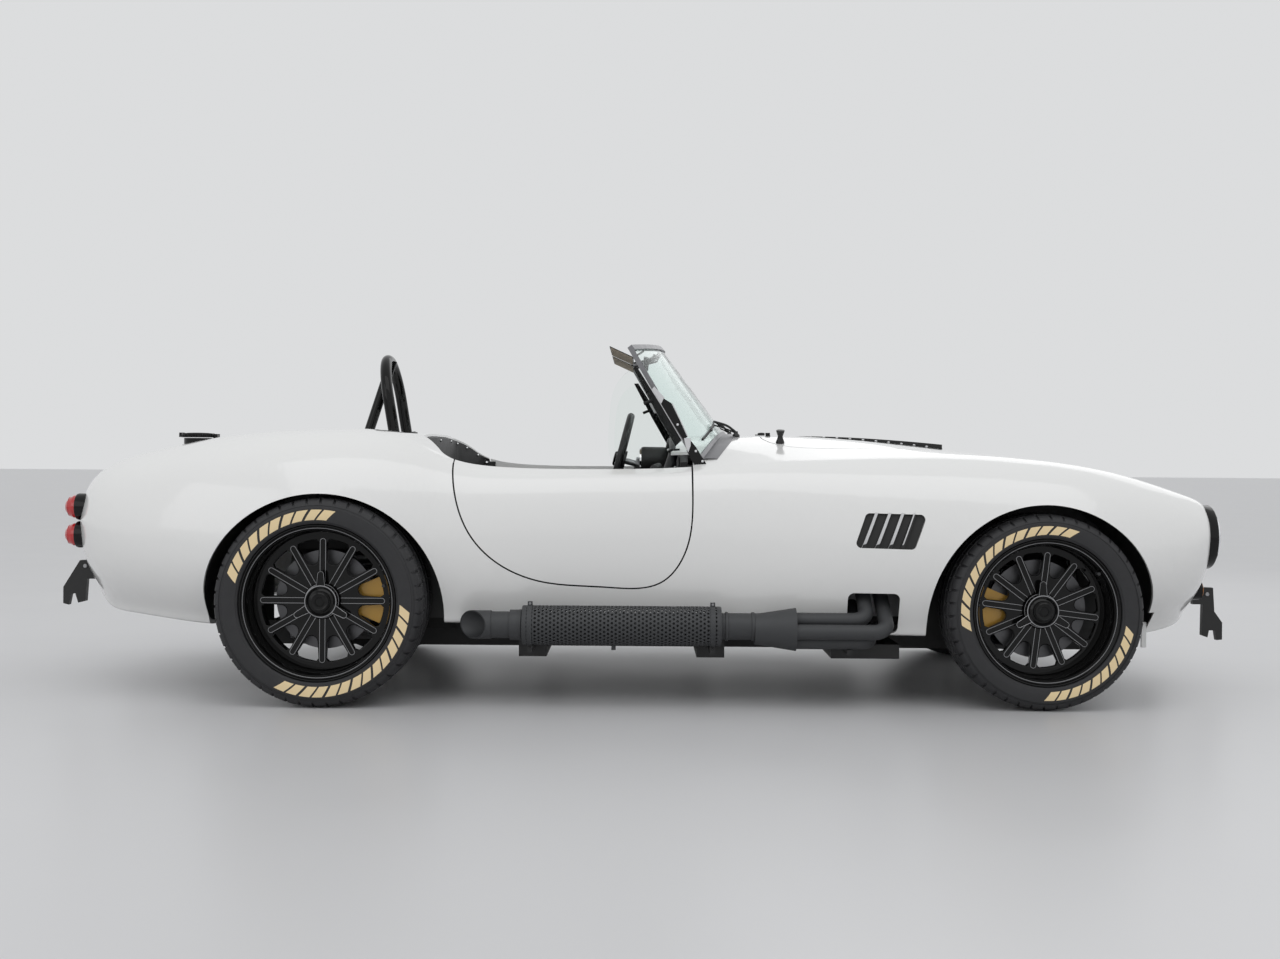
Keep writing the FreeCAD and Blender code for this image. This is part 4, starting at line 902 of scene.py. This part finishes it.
# Windscreen fittings
strip_line = [(-0.041, 1.082), (-0.024, 1.083), (0.050, 0.968), (0.121, 0.846), (0.101, 0.826),
              (0.032, 0.945)]
base_plate = [(0.144, 0.853), (0.166, 0.826), (0.2045, 0.765), (0.164, 0.763), (0.137, 0.812)]
wing_bracket = [(0.061, 0.982), (0.086, 0.967), (0.112, 0.915), (0.139, 0.857), (0.127, 0.847),
                (0.052, 0.962)]
bright_bracket = [(0.018, 1.006), (0.030, 1.021), (0.064, 0.985), (0.054, 0.966), (0.042, 0.963)]
clamp = [(0.128, 0.853), (0.150, 0.853), (0.150, 0.828), (0.142, 0.806), (0.134, 0.826)]
wing_outline = [(-0.028, 1.068), (-0.085, 1.040), (-0.112, 0.960), (-0.116, 0.800), (-0.070, 0.766),
                (-0.015, 0.760), (0.050, 0.776), (0.103, 0.842), (0.036, 0.960)]
edge_rods = (([(0.089, 0.966), (0.114, 0.915), (0.141, 0.858)], 0.0018),
             ([(-0.022, 1.078), (0.052, 0.962), (0.124, 0.842)], 0.0012))
latch_rod = ((-0.004, 0.606, 0.964), (0.010, 0.606, 0.970), (0.024, 0.602, 0.975))
screw_places = ((0.167, 0.811), (0.189, 0.778), (0.107, 0.897))
black_parts = Batch()
bright_parts = Batch()
wings = Batch()
screws = Batch()
for _, side in sides:
    black_parts.add(*flat_plate(strip_line, 0.5955, 0.008, side))
    black_parts.add(*flat_plate(base_plate, 0.6015, 0.006, side))
    black_parts.add(*flat_plate(wing_bracket, 0.599, 0.005, side))
    bright_parts.add(*flat_plate(bright_bracket, 0.593, 0.010, side))
    bright_parts.add(*flat_plate(clamp, 0.6055, 0.004, side))
    for line, radius in edge_rods:
        bright_parts.add(*tube([(x, side * 0.605, z) for x, z in line], radius, 8))
    black_parts.add(*tube([(x, side * y, z) for x, y, z in latch_rod], 0.0055, 12))
    for x, z in screw_places:
        screws.add(*screw_head((x, side * 0.6072, z), (0, side, 0), 0.0046, 0.003, False))
    wings.add(*flat_plate(soft_outline(wing_outline, 4), 0.6045, 0.004, side))
    black_parts.add(*bar(0.135, 0.235, side * 0.600, 0.012, 0.7595, 0.7645))
black_parts.make("screen_brackets", gloss_black)
bright_parts.make("screen_bright_parts", bright_satin)
band_rows = 41
band_depth = 0.045
band_levels = ((-0.1, 0.0035), (0.2, 0.0050), (0.7, 0.0045), (1.0, 0.0020))
verts = []
for i in range(band_rows):
    y = -0.575 + 1.15 * i / (band_rows - 1)
    root = 0.300 - 0.116 * (abs(y) / 0.6) ** 2
    for share, lift in band_levels:
        point, normal = top_of("body_shell", root + band_depth * share, y)
        verts.append(point + normal * lift)
        verts.append(point - normal * 0.0006)
add_mesh("screen_foot_band", verts, strip_faces(band_rows, True), frame_metal)
screws.make("screen_screws", chrome)
wings.make("wind_wings", thin_glass)


def slab(low_y, high_y, edges):
    """A solid across the car: its side view gives two points below and two above."""
    rings = []
    for x0, z0, x1, z1 in edges:
        rings.append([(x0, low_y, z0), (x0, high_y, z0), (x1, high_y, z1), (x1, low_y, z1)])
    return between(*rings)


visor_edges = ((-0.119, 1.156, -0.040, 1.120), (-0.118, 1.1585, -0.039, 1.1225))
lining_edges = ((-0.116, 1.1535, -0.043, 1.1203), (-0.117, 1.1558, -0.042, 1.1216))
lining_inset = 0.006
visors = Batch()
visor_under = Batch()
for _, side in sides:
    lo, hi = sorted((side * 0.045, side * 0.500))
    visors.add(*slab(lo, hi, visor_edges))
    visor_under.add(*slab(lo + lining_inset, hi - lining_inset, lining_edges))
    for y in (side * 0.12, side * 0.42):
        point, _ = front_of("windscreen_frame", y, 1.165, -1)
        arm = [(-0.045, y, 1.1225), (point.x - 0.004, y, 1.145), (point.x + 0.002, y, 1.160)]
        visors.add(*tube(arm, 0.0035, 10))
visors.make("sun_visors", satin_black)
visor_under.make("visor_linings", beige)
mirror_middle = Vector((0.004, 0.0, 1.128))
mirror_outline = []
for c, s in circle(1, 40):
    mirror_outline.append((0.100 * math.copysign(abs(c) ** 0.6, c), 0.026 * math.copysign(abs(s) ** 0.6, s)))


def mirror_face(x, width, height):
    return [mirror_middle + Vector((x, y * width, z * height)) for y, z in mirror_outline]


mirror = Batch()
mirror.add(*between(mirror_face(-0.006, 1, 1), mirror_face(0.010, 0.92, 0.85)))
mirror.add(*tube([mirror_middle + Vector((0.008, 0, 0.004)), mirror_middle + Vector((0.022, 0, 0.018)),
                  Vector((0.040, 0, 1.166))], 0.0045, 12))
mirror.make("mirror", satin_black)
add_mesh("mirror_glass", *between(mirror_face(-0.0072, 0.95, 0.9), mirror_face(-0.0066, 0.95, 0.9)), chrome)


def wiper(pivot_y, elbow_y, tip_y, tip_drop):
    """Pivot on the cowl, arm back to the glass and a blade along its foot."""
    pivot, normal = top_of("body_shell", 0.325 - 0.10 * abs(pivot_y) ** 2, pivot_y)
    elbow = front_of("windscreen_glass", elbow_y, pivot.z + 0.046)[0] + Vector((0.011, 0, 0.006))
    pivot_profile = [(0.013, -0.001), (0.0125, 0.006), (0.0075, 0.012), (0.0065, 0.019), (0.0001, 0.020)]
    hub = pivot + normal * 0.015
    middle = (hub + elbow) / 2
    arm = [hub, hub + Vector((-0.012, 0, 0.010)), middle + Vector((0.004, 0, 0.006)), elbow]
    stay = [hub + Vector((0, 0.006, -0.002)), middle + Vector((0.004, 0.006, -0.006)),
            elbow - Vector((0, 0, 0.012))]
    blade = []
    for i in range(9):
        share = i / 8
        z = elbow.z - 0.012 - tip_drop * share ** 1.2
        point, _ = front_of("windscreen_glass", elbow_y + (tip_y - elbow_y) * share, z)
        if point is not None:
            blade.append(point + Vector((0.0065, 0, 0)))
    batch = Batch()
    batch.add(*lathe(pivot_profile, pivot, normal, 24))
    batch.add(*tube(arm, 0.0042, 12, 6))
    batch.add(*tube(stay, 0.0026, 10, 6))
    batch.add(*sweep(blade, [(-0.0035, -0.004), (0.0035, -0.004), (0.0022, 0.004), (-0.0022, 0.004)]))
    link = [elbow, blade[4] + Vector((0.008, 0, 0.002)), blade[4] + Vector((0.002, 0, 0))]
    batch.add(*tube(link, 0.003, 10))
    return batch


wiper(-0.300, -0.305, -0.500, 0.052).make("wiper_right", satin_black)
wiper(0.200, 0.195, -0.030, -0.006).make("wiper_left", satin_black)


# Roll hoop: foot flanges with their bolts, and a short stub behind its top
hoop_feet = ((-0.930, 0.170), (-0.930, 0.500), (-1.068, 0.335))
feet = Batch()
foot_bolts = Batch()
for x, y in hoop_feet:
    point, normal = top_of("body_shell", x, y)
    feet.add(*lathe([(0.036, -0.002), (0.036, 0.0035), (0.024, 0.005)], point, normal, 32))
    u, v, w = basis(normal)
    for a, b in arc(0.030, math.pi / 4, math.pi * 7 / 4, 3):
        foot_bolts.add(*hexagon(point + u * a + v * b + w * 0.0035, normal, 0.0042, 0.003))
feet.make("hoop_feet", gloss_black)
foot_bolts.make("hoop_bolts", plated)
hoop_stub = tube([(-0.972, 0.335, 1.062), (-0.990, 0.335, 1.066), (-1.012, 0.335, 1.071)], 0.011, 18)
add_mesh("hoop_stub", *hoop_stub, gloss_black)


# Cockpit edge, in plan from the left door to the middle of the rear edge
edge_half = [(-0.596, 0.622), (-0.628, 0.621), (-0.655, 0.606), (-0.675, 0.572), (-0.698, 0.526),
             (-0.721, 0.478), (-0.738, 0.440), (-0.745, 0.395), (-0.745, 0.200)]


def edge_path(inset):
    full = edge_half + [(-0.745, 0.0)] + [(x, -y) for x, y in reversed(edge_half)]
    pts = path_points([(x, y, 0) for x, y in full], 5)
    out = []
    for i, p in enumerate(pts):
        ahead = pts[min(i + 1, len(pts) - 1)]
        behind = pts[max(i - 1, 0)]
        along = (ahead - behind).normalized()
        inward = Vector((-along.y, along.x, 0))
        probe = p - inward * 0.010
        point, _ = top_of("body_shell", min(probe.x, -0.622), probe.y)
        out.append((p + inward * inset, point.z))
    return out


edge_columns = edge_path(0.004)
inner_columns = edge_path(0.009)
lining_foot_z = 0.46
verts, faces = [], []
for (p, z), (q, _) in zip(edge_columns, inner_columns):
    verts += [(p.x, p.y, lining_foot_z), (p.x, p.y, z - 0.010), (q.x, q.y, z - 0.013),
              (q.x, q.y, lining_foot_z)]
for i in range(0, (len(edge_columns) - 1) * 4, 4):
    faces += [(a, a + 1, a + 5, a + 4) for a in (i, i + 1, i + 2)]
add_mesh("cockpit_lining", verts, faces, leather)
snaps = Batch()
snap_profile = [(0.0055, -0.001), (0.0055, 0.0015), (0.0035, 0.0035), (0.0001, 0.0042)]
for i in range(6, len(inner_columns) - 5, 8):
    q, z = inner_columns[i]
    along = inner_columns[i + 1][0] - inner_columns[i - 1][0]
    snaps.add(*lathe(snap_profile, (q.x, q.y, z - 0.022), Vector((-along.y, along.x, 0)).normalized(), 16))
snaps.make("tonneau_snaps", chrome)

# Dash top roll, door cards and sill trims
roll_half = [(0.012, 0.600), (0.030, 0.575), (0.066, 0.520), (0.096, 0.455), (0.101, 0.35), (0.101, 0.15)]
roll = []
for x, y in [(x, -y) for x, y in roll_half] + [(0.101, 0.0)] + roll_half[::-1]:
    point, _ = top_of("body_shell", x + 0.030, y * 1.03)
    if point is None:
        point, _ = top_of("door_left" if y > 0 else "door_right", x, math.copysign(0.640, y))
    roll.append((x, y, point.z - 0.022))
add_mesh("dash_roll", *sweep(path_points(roll, 5), circle(0.0165, 16)), leather)
card_outline = [(-0.598, 0.733), (-0.588, 0.668), (-0.548, 0.562), (-0.474, 0.478), (-0.338, 0.414),
                (-0.130, 0.398), (0.045, 0.412), (0.112, 0.492), (0.136, 0.648), (0.136, 0.733)]
pocket_outline = [(-0.470, 0.560), (-0.440, 0.500), (-0.330, 0.435), (-0.130, 0.418), (0.000, 0.430),
                  (0.050, 0.500), (0.052, 0.560)]
pocket_edge = ((-0.480, 0.562), (-0.330, 0.566), (-0.100, 0.566), (0.060, 0.562))
pull_line = ((-0.350, 0.612, 0.640), (-0.345, 0.598, 0.642), (-0.200, 0.598, 0.642), (-0.195, 0.612, 0.640))
lever_line = ((-0.480, 0.608, 0.650), (-0.430, 0.604, 0.652), (-0.405, 0.603, 0.650))
sill_strips = ((0.430, 0.5745, 0.610, 0.400, 0.408), (0.105, 0.562, 0.5755, 0.700, 0.707))
trims = Batch()
for side_name, side in sides:
    door = "door_" + side_name
    card = Batch()
    card.add(*flat_plate(card_outline, 0.6165, 0.0050, side))
    card.add(*flat_plate(pocket_outline, 0.6105, 0.0058, side))
    card.add(*tube([(x, side * 0.6125, z) for x, z in pocket_edge], 0.0050, 10))
    soften(card.make("door_card_" + side_name, leather, door), 0.0015)
    pull = Batch()
    pull.add(*tube([(x, side * y, z) for x, y, z in pull_line], 0.0050, 12))
    pull.add(*lathe([(0.016, 0), (0.015, 0.006), (0.0001, 0.007)], (-0.480, side * 0.6165, 0.650),
                    (0, -side, 0), 24))
    pull.add(*tube([(x, side * y, z) for x, y, z in lever_line], 0.0045, 12))
    pull.make("door_pull_" + side_name, chrome, door)
    for x1, inner_y, outer_y, z0, z1 in sill_strips:
        low_y, high_y = sorted((side * inner_y, side * outer_y))
        trims.add(*box_shape((-0.600, low_y, z0), (x1, high_y, z1)))
trims.make("sill_trims", carpet)


# Instruments in their pods, switches, glove box lid and grab handle
dash_x = 0.118
switch_z = 0.688
dial_z = 0.745
pod_z = 0.775
first_tick = 225
tick_sweep = 270


def gauge(centre, radius, ticks, needle_angle, depth=0.012):
    """Rim, face, marks and needle of a round instrument that faces the seats."""
    c = Vector(centre)
    rim = [(radius, -0.001), (radius + 0.003, 0.004), (radius + 0.002, depth), (radius - 0.003, depth + 0.001),
           (radius - 0.004, depth - 0.004)]
    rims.add(*lathe(rim, c, astern, 40))
    dials.add(*lathe([(radius - 0.002, depth - 0.006), (0.0001, depth - 0.006)], c, astern, 40))
    mark_place = c - Vector((depth - 0.0055, 0, 0))
    back = Vector((0.0004, 0, 0))
    for i in range(ticks):
        a = math.radians(first_tick - tick_sweep * i / (ticks - 1))
        out = Vector((0, -math.cos(a), math.sin(a)))
        w = Vector((0, math.sin(a), math.cos(a))) * 0.0006
        p0 = mark_place + out * (radius * (0.70 if i % 2 == 0 else 0.78))
        p1 = mark_place + out * (radius * 0.86)
        front = [p0 - w, p0 + w, p1 + w, p1 - w]
        marks.add(*between([p + back for p in front], front))
    a = math.radians(needle_angle)
    out = Vector((0, -math.cos(a), math.sin(a)))
    start = c - Vector((depth - 0.003, 0, 0))
    marks.add(*tube([start + out * radius * share for share in (-0.15, 0.3, 0.68)], 0.0008, 6))
    marks.add(*lathe([(0.004, depth - 0.006), (0.0035, depth - 0.001), (0.0001, depth)], c, astern, 16))


rims = Batch()
dials = Batch()
marks = Batch()
pods = Batch()
pod_profile = [(0.048, -0.100), (0.052, -0.090), (0.053, -0.010), (0.050, 0.000)]
for y, angle in ((0.405, 200), (0.295, 215)):
    pods.add(*lathe(pod_profile, (-0.010, y, pod_z), astern, 40))
    gauge((-0.004, y, pod_z), 0.046, 19, angle)
for y, angle in ((0.150, 120), (0.075, 100), (0.000, 80), (-0.075, 110), (-0.150, 60)):
    gauge((dash_x, y, dial_z), 0.026, 9, angle)
pods.add(*box_shape((-0.004, 0.262, 0.700), (0.117, 0.440, 0.742)))
rims.make("gauge_rims", chrome)
dials.make("gauge_faces", dial_face)
marks.make("gauge_marks", dial_mark)
pods.make("gauge_pods", vinyl)
switches = Batch()
toggle_line = ((0.003, 0), (0.012, 0.002), (0.020, 0.005))
for i in range(7):
    y = 0.165 - i * 0.055
    switches.add(*lathe([(0.0075, 0), (0.0075, 0.004), (0.0001, 0.005)], (dash_x, y, switch_z), astern, 16))
    switches.add(*tube([(dash_x - back, y, switch_z + up) for back, up in toggle_line], 0.0028, 8))
switches.make("dash_switches", plated)
glove_box = box_shape((dash_x - 0.0045, -0.500, 0.640), (dash_x - 0.0002, -0.230, 0.790))
soften(add_mesh("glove_box_lid", *glove_box, vinyl), 0.0015)
grab_line = ((0, -0.480), (0.030, -0.470), (0.034, -0.365), (0.030, -0.260), (0, -0.250))
grab_tube = tube([(dash_x - back, y, 0.812) for back, y in grab_line], 0.0075, 14, 6)
add_mesh("grab_handle", *grab_tube, gloss_black)

# Steering wheel: boss, spoke plates and horn button
tilt = math.radians(14)
wheel_axis = Vector((-math.cos(tilt), 0, math.sin(tilt)))
wheel_up = Vector((math.sin(tilt), 0, math.cos(tilt)))
wheel_centre = Vector((-0.092, 0.350, 0.778))
across_car = Vector((0, 1, 0))
boss = Batch()
boss_profile = [(0.041, -0.004), (0.041, 0.010), (0.036, 0.015), (0.030, 0.016)]
boss.add(*lathe(boss_profile, wheel_centre, wheel_axis, 40))
for a, b in arc(0.034, math.radians(30), math.radians(330), 5):
    spot = wheel_centre + across_car * a + wheel_up * b + wheel_axis * 0.0145
    boss.add(*screw_head(spot, wheel_axis, 0.0035, 0.0025))
boss.make("wheel_boss", plated, "steering_wheel")
horn_profile = [(0.029, 0.010), (0.029, 0.020), (0.024, 0.025), (0.0001, 0.027)]
add_mesh("horn_button", *lathe(horn_profile, wheel_centre, wheel_axis, 40), gloss_black, "steering_wheel")
spoke_plates = Batch()
for turn in (90, 210, 330):
    a = math.radians(turn)
    out = across_car * math.cos(a) + wheel_up * math.sin(a)
    across = out.cross(wheel_axis)
    near = wheel_centre + out * 0.036 + wheel_axis * 0.0085
    far = wheel_centre + out * 0.162 + wheel_axis * 0.0085
    top = [near - across * 0.016, near + across * 0.016, far + across * 0.012, far - across * 0.012]
    spoke_plates.add(*between([p - wheel_axis * 0.003 for p in top], top))
soften(spoke_plates.make("wheel_spokes", satin_black, "steering_wheel"), 0.001)

# Tunnel: gear lever boot, knob, handbrake; pedals
boot_profile = [(0.055, 0.000), (0.052, 0.006), (0.040, 0.012), (0.043, 0.018), (0.031, 0.026),
                (0.034, 0.032), (0.022, 0.042), (0.025, 0.048), (0.013, 0.060), (0.0095, 0.075)]
add_mesh("gear_boot", *lathe(boot_profile, (-0.062, 0, 0.430), (-0.30, 0, 1), 32), leather)
gear_plate = lathe([(0.068, 0), (0.068, 0.003), (0.052, 0.0035)], (-0.062, 0, 0.4302), (0, 0, 1), 40)
add_mesh("gear_plate", *gear_plate, chrome)
knob_r = 0.0245
knob_angles = [math.pi * i / 12 for i in range(1, 12)]
knob_side = [(knob_r * math.sin(a), -knob_r * math.cos(a)) for a in knob_angles]
knob_profile = [(0.0001, -0.024)] + knob_side + [(0.0001, knob_r)]
add_mesh("gear_knob", *lathe(knob_profile, (-0.151, 0, 0.598), (-0.27, 0, 1), 28), gloss_black)
brake_y = -0.060
brake_line = ((-0.300, 0.430), (-0.290, 0.455), (-0.230, 0.480), (-0.130, 0.510))
grip_line = ((-0.195, 0.4905), (-0.150, 0.504), (-0.100, 0.519))
add_mesh("handbrake", *tube([(x, brake_y, z) for x, z in brake_line], 0.009, 14, 5), chrome)
add_mesh("handbrake_grip", *tube([(x, brake_y, z) for x, z in grip_line], 0.0135, 16), leather)
pedals = Batch()
for y in (0.235, 0.320, 0.415):
    pedals.add(*bar(0.330, 0.338, y, 0.026, 0.300, 0.370))
    pedals.add(*tube([(0.340, y, 0.345), (0.370, y, 0.420), (0.425, y, 0.520)], 0.006, 10))
soften(pedals.make("pedals", satin_black), 0.002)


# Fuel cap lever and grip, white tabs under the front fenders, hook bolts
cap_low, cap_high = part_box("fuel_cap")
cap_x, cap_y = -1.500, -0.450
cap_r = (cap_high.x - cap_low.x) / 2
grip_bars = 40
lever = Batch()
lever_foot = [(0.040, -0.001), (0.038, 0.003), (0.020, 0.0045), (0.0001, 0.005)]
lever.add(*lathe(lever_foot, (cap_x, cap_y, cap_low.z + 0.014), (0, 0, 1), 36))
lever.add(*bar(cap_x - 0.062, cap_x - 0.045, cap_y, 0.008, cap_low.z + 0.004, cap_low.z + 0.018))
soften(lever.make("cap_lever", gloss_black, "fuel_cap"), 0.0012)
cap_grip = Batch()
for x, y in circle(cap_r - 0.001, grip_bars):
    cap_grip.add(*tube([(cap_x + x, cap_y + y, cap_low.z + up) for up in (0.003, 0.011)], 0.0014, 6))
cap_grip.make("cap_grip", gloss_black, "fuel_cap")
tabs = Batch()
hook_bolts = Batch()
for _, side in sides:
    tabs.add(*bar(1.632, 1.650, side * 0.579, 0.004, 0.178, 0.262))
    for x, y, z in ((1.928, 0.340, 0.335), (-1.906, 0.350, 0.404)):
        for out in (1, -1):
            hook_bolts.add(*hexagon((x, side * y + out * 0.012, z), (0, out, 0), 0.0075, 0.005))
soften(tabs.make("fender_tabs", paint), 0.002)
hook_bolts.make("hook_bolts", plated)


# Seats: cushions swollen with cloth pressure, then sewn channels
seat_y = 0.345


def pad_shape(low, high):
    """A box of quads with rounded corners, slightly smaller than its space."""
    cells = (14, 12, 5)
    lo = Vector(low)
    hi = Vector(high)
    size = hi - lo
    verts, faces, index = [], [], {}

    def corner(i, j, k):
        key = (i, j, k)
        if key not in index:
            index[key] = len(verts)
            p = [2 * i / cells[0] - 1, 2 * j / cells[1] - 1, 2 * k / cells[2] - 1]
            power = 5.0
            norm = max(abs(p[0]), abs(p[1])) or 1
            length = (abs(p[0]) ** power + abs(p[1]) ** power) ** (1 / power)
            pull = norm / length if length else 1
            q = [p[0] * pull, p[1] * pull, p[2] * (1 - 0.28 * max(abs(p[0]), abs(p[1])) ** 8)]
            verts.append([lo[n] + size[n] * (q[n] + 1) / 2 for n in range(3)])
        return index[key]

    for i in range(cells[0]):
        for j in range(cells[1]):
            faces.append((corner(i, j, 0), corner(i, j + 1, 0), corner(i + 1, j + 1, 0), corner(i + 1, j, 0)))
            k = cells[2]
            faces.append((corner(i, j, k), corner(i + 1, j, k), corner(i + 1, j + 1, k), corner(i, j + 1, k)))
    for i in range(cells[0]):
        for k in range(cells[2]):
            faces.append((corner(i, 0, k), corner(i + 1, 0, k), corner(i + 1, 0, k + 1), corner(i, 0, k + 1)))
            j = cells[1]
            faces.append((corner(i, j, k), corner(i, j, k + 1), corner(i + 1, j, k + 1), corner(i + 1, j, k)))
    for j in range(cells[1]):
        for k in range(cells[2]):
            faces.append((corner(0, j, k), corner(0, j, k + 1), corner(0, j + 1, k + 1), corner(0, j + 1, k)))
            i = cells[0]
            faces.append((corner(i, j, k), corner(i, j + 1, k), corner(i, j + 1, k + 1), corner(i, j, k + 1)))
    return verts, faces


def puffed(verts, faces, limit):
    """The pad's mesh after a short cloth simulation with inner pressure."""
    mesh = bpy.data.meshes.new("pad_work")
    mesh.from_pydata([tuple(v) for v in verts], [], faces)
    work = bpy.data.objects.new("pad_work", mesh)
    scene.collection.objects.link(work)
    sub = work.modifiers.new("fine", "SUBSURF")
    sub.levels = 2
    sub.render_levels = 2
    depsgraph = bpy.context.evaluated_depsgraph_get()
    fine = bpy.data.meshes.new_from_object(work.evaluated_get(depsgraph))
    work.modifiers.clear()
    work.data = fine
    before = [v.co.copy() for v in fine.vertices]
    cloth = work.modifiers.new("cloth", "CLOTH")
    cloth.settings.quality = 5
    cloth.settings.use_pressure = True
    cloth.settings.uniform_pressure_force = 4
    cloth.settings.effector_weights.gravity = 0
    cloth.settings.tension_stiffness = 40
    for step in range(1, 21):
        scene.frame_set(step)
    depsgraph = bpy.context.evaluated_depsgraph_get()
    swollen = bpy.data.meshes.new_from_object(work.evaluated_get(depsgraph))
    after = [v.co.copy() for v in swollen.vertices]
    scene.frame_set(1)
    out = []
    for p, q in zip(before, after):
        move = q - p
        if move.length > limit:
            move = move.normalized() * limit
        out.append(p + move)
    polys = [tuple(f.vertices) for f in fine.polygons]
    bpy.data.objects.remove(work)
    return out, polys


def sewn(points, lines, axis, depth, width, upper):
    """Presses channels into the upper side of a pad."""
    middle = sum((p[upper] for p in points)) / len(points)
    out = []
    for p in points:
        q = p.copy()
        if p[upper] > middle:
            for line in lines:
                q[upper] -= depth * math.exp(-((p[axis] - line) / width) ** 2)
        out.append(q)
    return out


pad_half_width = 0.168
swell_limit = 0.012
channel_lines = [-0.090, -0.045, 0.0, 0.045, 0.090]
channel_depth = 0.0075
channel_width = 0.0055
seam_size = 0.006
back_lean = math.atan2(0.120, 0.385)
back_up = Vector((-math.sin(back_lean), 0, math.cos(back_lean)))
back_ahead = Vector((math.cos(back_lean), 0, math.sin(back_lean)))
cushion_lift = 0.225


def cushion(x0, x1, z0, z1, seam_x):
    """Points and faces of a swollen pad with sewn channels along it and one seam across."""
    low, high = (x0, -pad_half_width, z0), (x1, pad_half_width, z1)
    points, faces = puffed(*pad_shape(low, high), swell_limit)
    points = sewn(points, channel_lines, 1, channel_depth, channel_width, 2)
    return sewn(points, [seam_x], 0, seam_size, seam_size, 2), faces


base_points, base_faces = cushion(-0.545, -0.100, 0.010, 0.108, -0.205)
back_points, back_faces = cushion(0.0, 0.385, 0.006, 0.096, 0.300)
for side_name, side in sides:
    seat = Batch()
    seat.add([(p.x, p.y + side * seat_y, p.z + cushion_lift) for p in base_points], base_faces)
    start = Vector((-0.560, side * seat_y, 0.352))
    placed = [start + back_up * p.x + Vector((0, p.y, 0)) + back_ahead * p.z for p in back_points]
    seat.add(placed, back_faces)
    piece = seat.make("seat_cushions_" + side_name, leather, "root", "leather", 60)
    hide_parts("seats")


# Camera, floor and light
photo_width = 1280
horizon_pixels = 25.5
camera_turn = math.radians(0.43)
camera_data = bpy.data.cameras.new("camera")
camera_data.sensor_width = 36.0
camera_data.lens = 45.28
camera_data.shift_y = -horizon_pixels / photo_width
camera = bpy.data.objects.new("camera", camera_data)
camera.location = (-0.015, -5.86, 0.80)
upright = Matrix.Rotation(math.pi / 2, 4, "X")
camera.rotation_euler = (upright @ Matrix.Rotation(camera_turn, 4, "Z")).to_euler()
scene.collection.objects.link(camera)
scene.camera = camera

floor_half = 60
floor_mesh = bpy.data.meshes.new("floor")
floor_corners = [(-floor_half, -floor_half, 0), (floor_half, -floor_half, 0), (floor_half, floor_half, 0),
                 (-floor_half, floor_half, 0)]
floor_mesh.from_pydata(floor_corners, [], [(0, 1, 2, 3)])
floor = bpy.data.objects.new("floor", floor_mesh)
scene.collection.objects.link(floor)
floor_mesh.materials.append(material("pale_floor", (0.62, 0.62, 0.63), 0.35, grain=0.04, grain_scale=2))
floor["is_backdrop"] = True

world_colour = (0.94, 0.95, 0.96)
world_strength = 0.76
world = bpy.data.worlds.new("studio")
scene.world = world
world.use_nodes = True
background = world.node_tree.nodes["Background"]
background.inputs["Color"].default_value = (*world_colour, 1)
background.inputs["Strength"].default_value = world_strength


def area_light(name, place, target, size, power):
    data = bpy.data.lights.new(name, "AREA")
    data.shape = "RECTANGLE"
    data.size, data.size_y = size
    data.energy = power
    light = bpy.data.objects.new(name, data)
    light.location = place
    light.rotation_euler = (Vector(target) - Vector(place)).to_track_quat("-Z", "Y").to_euler()
    scene.collection.objects.link(light)
    light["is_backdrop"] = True


area_light("key", (0.5, -3.4, 5.0), (0, 0, 0.4), (7.0, 3.6), 62)
area_light("fill", (-4.5, -4.2, 2.6), (0, 0, 0.5), (3.5, 3.0), 20)
area_light("rim", (3.0, 4.5, 3.8), (0, 0, 0.6), (6.0, 3.0), 36)
scene.view_settings.view_transform = "Standard"

low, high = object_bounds()
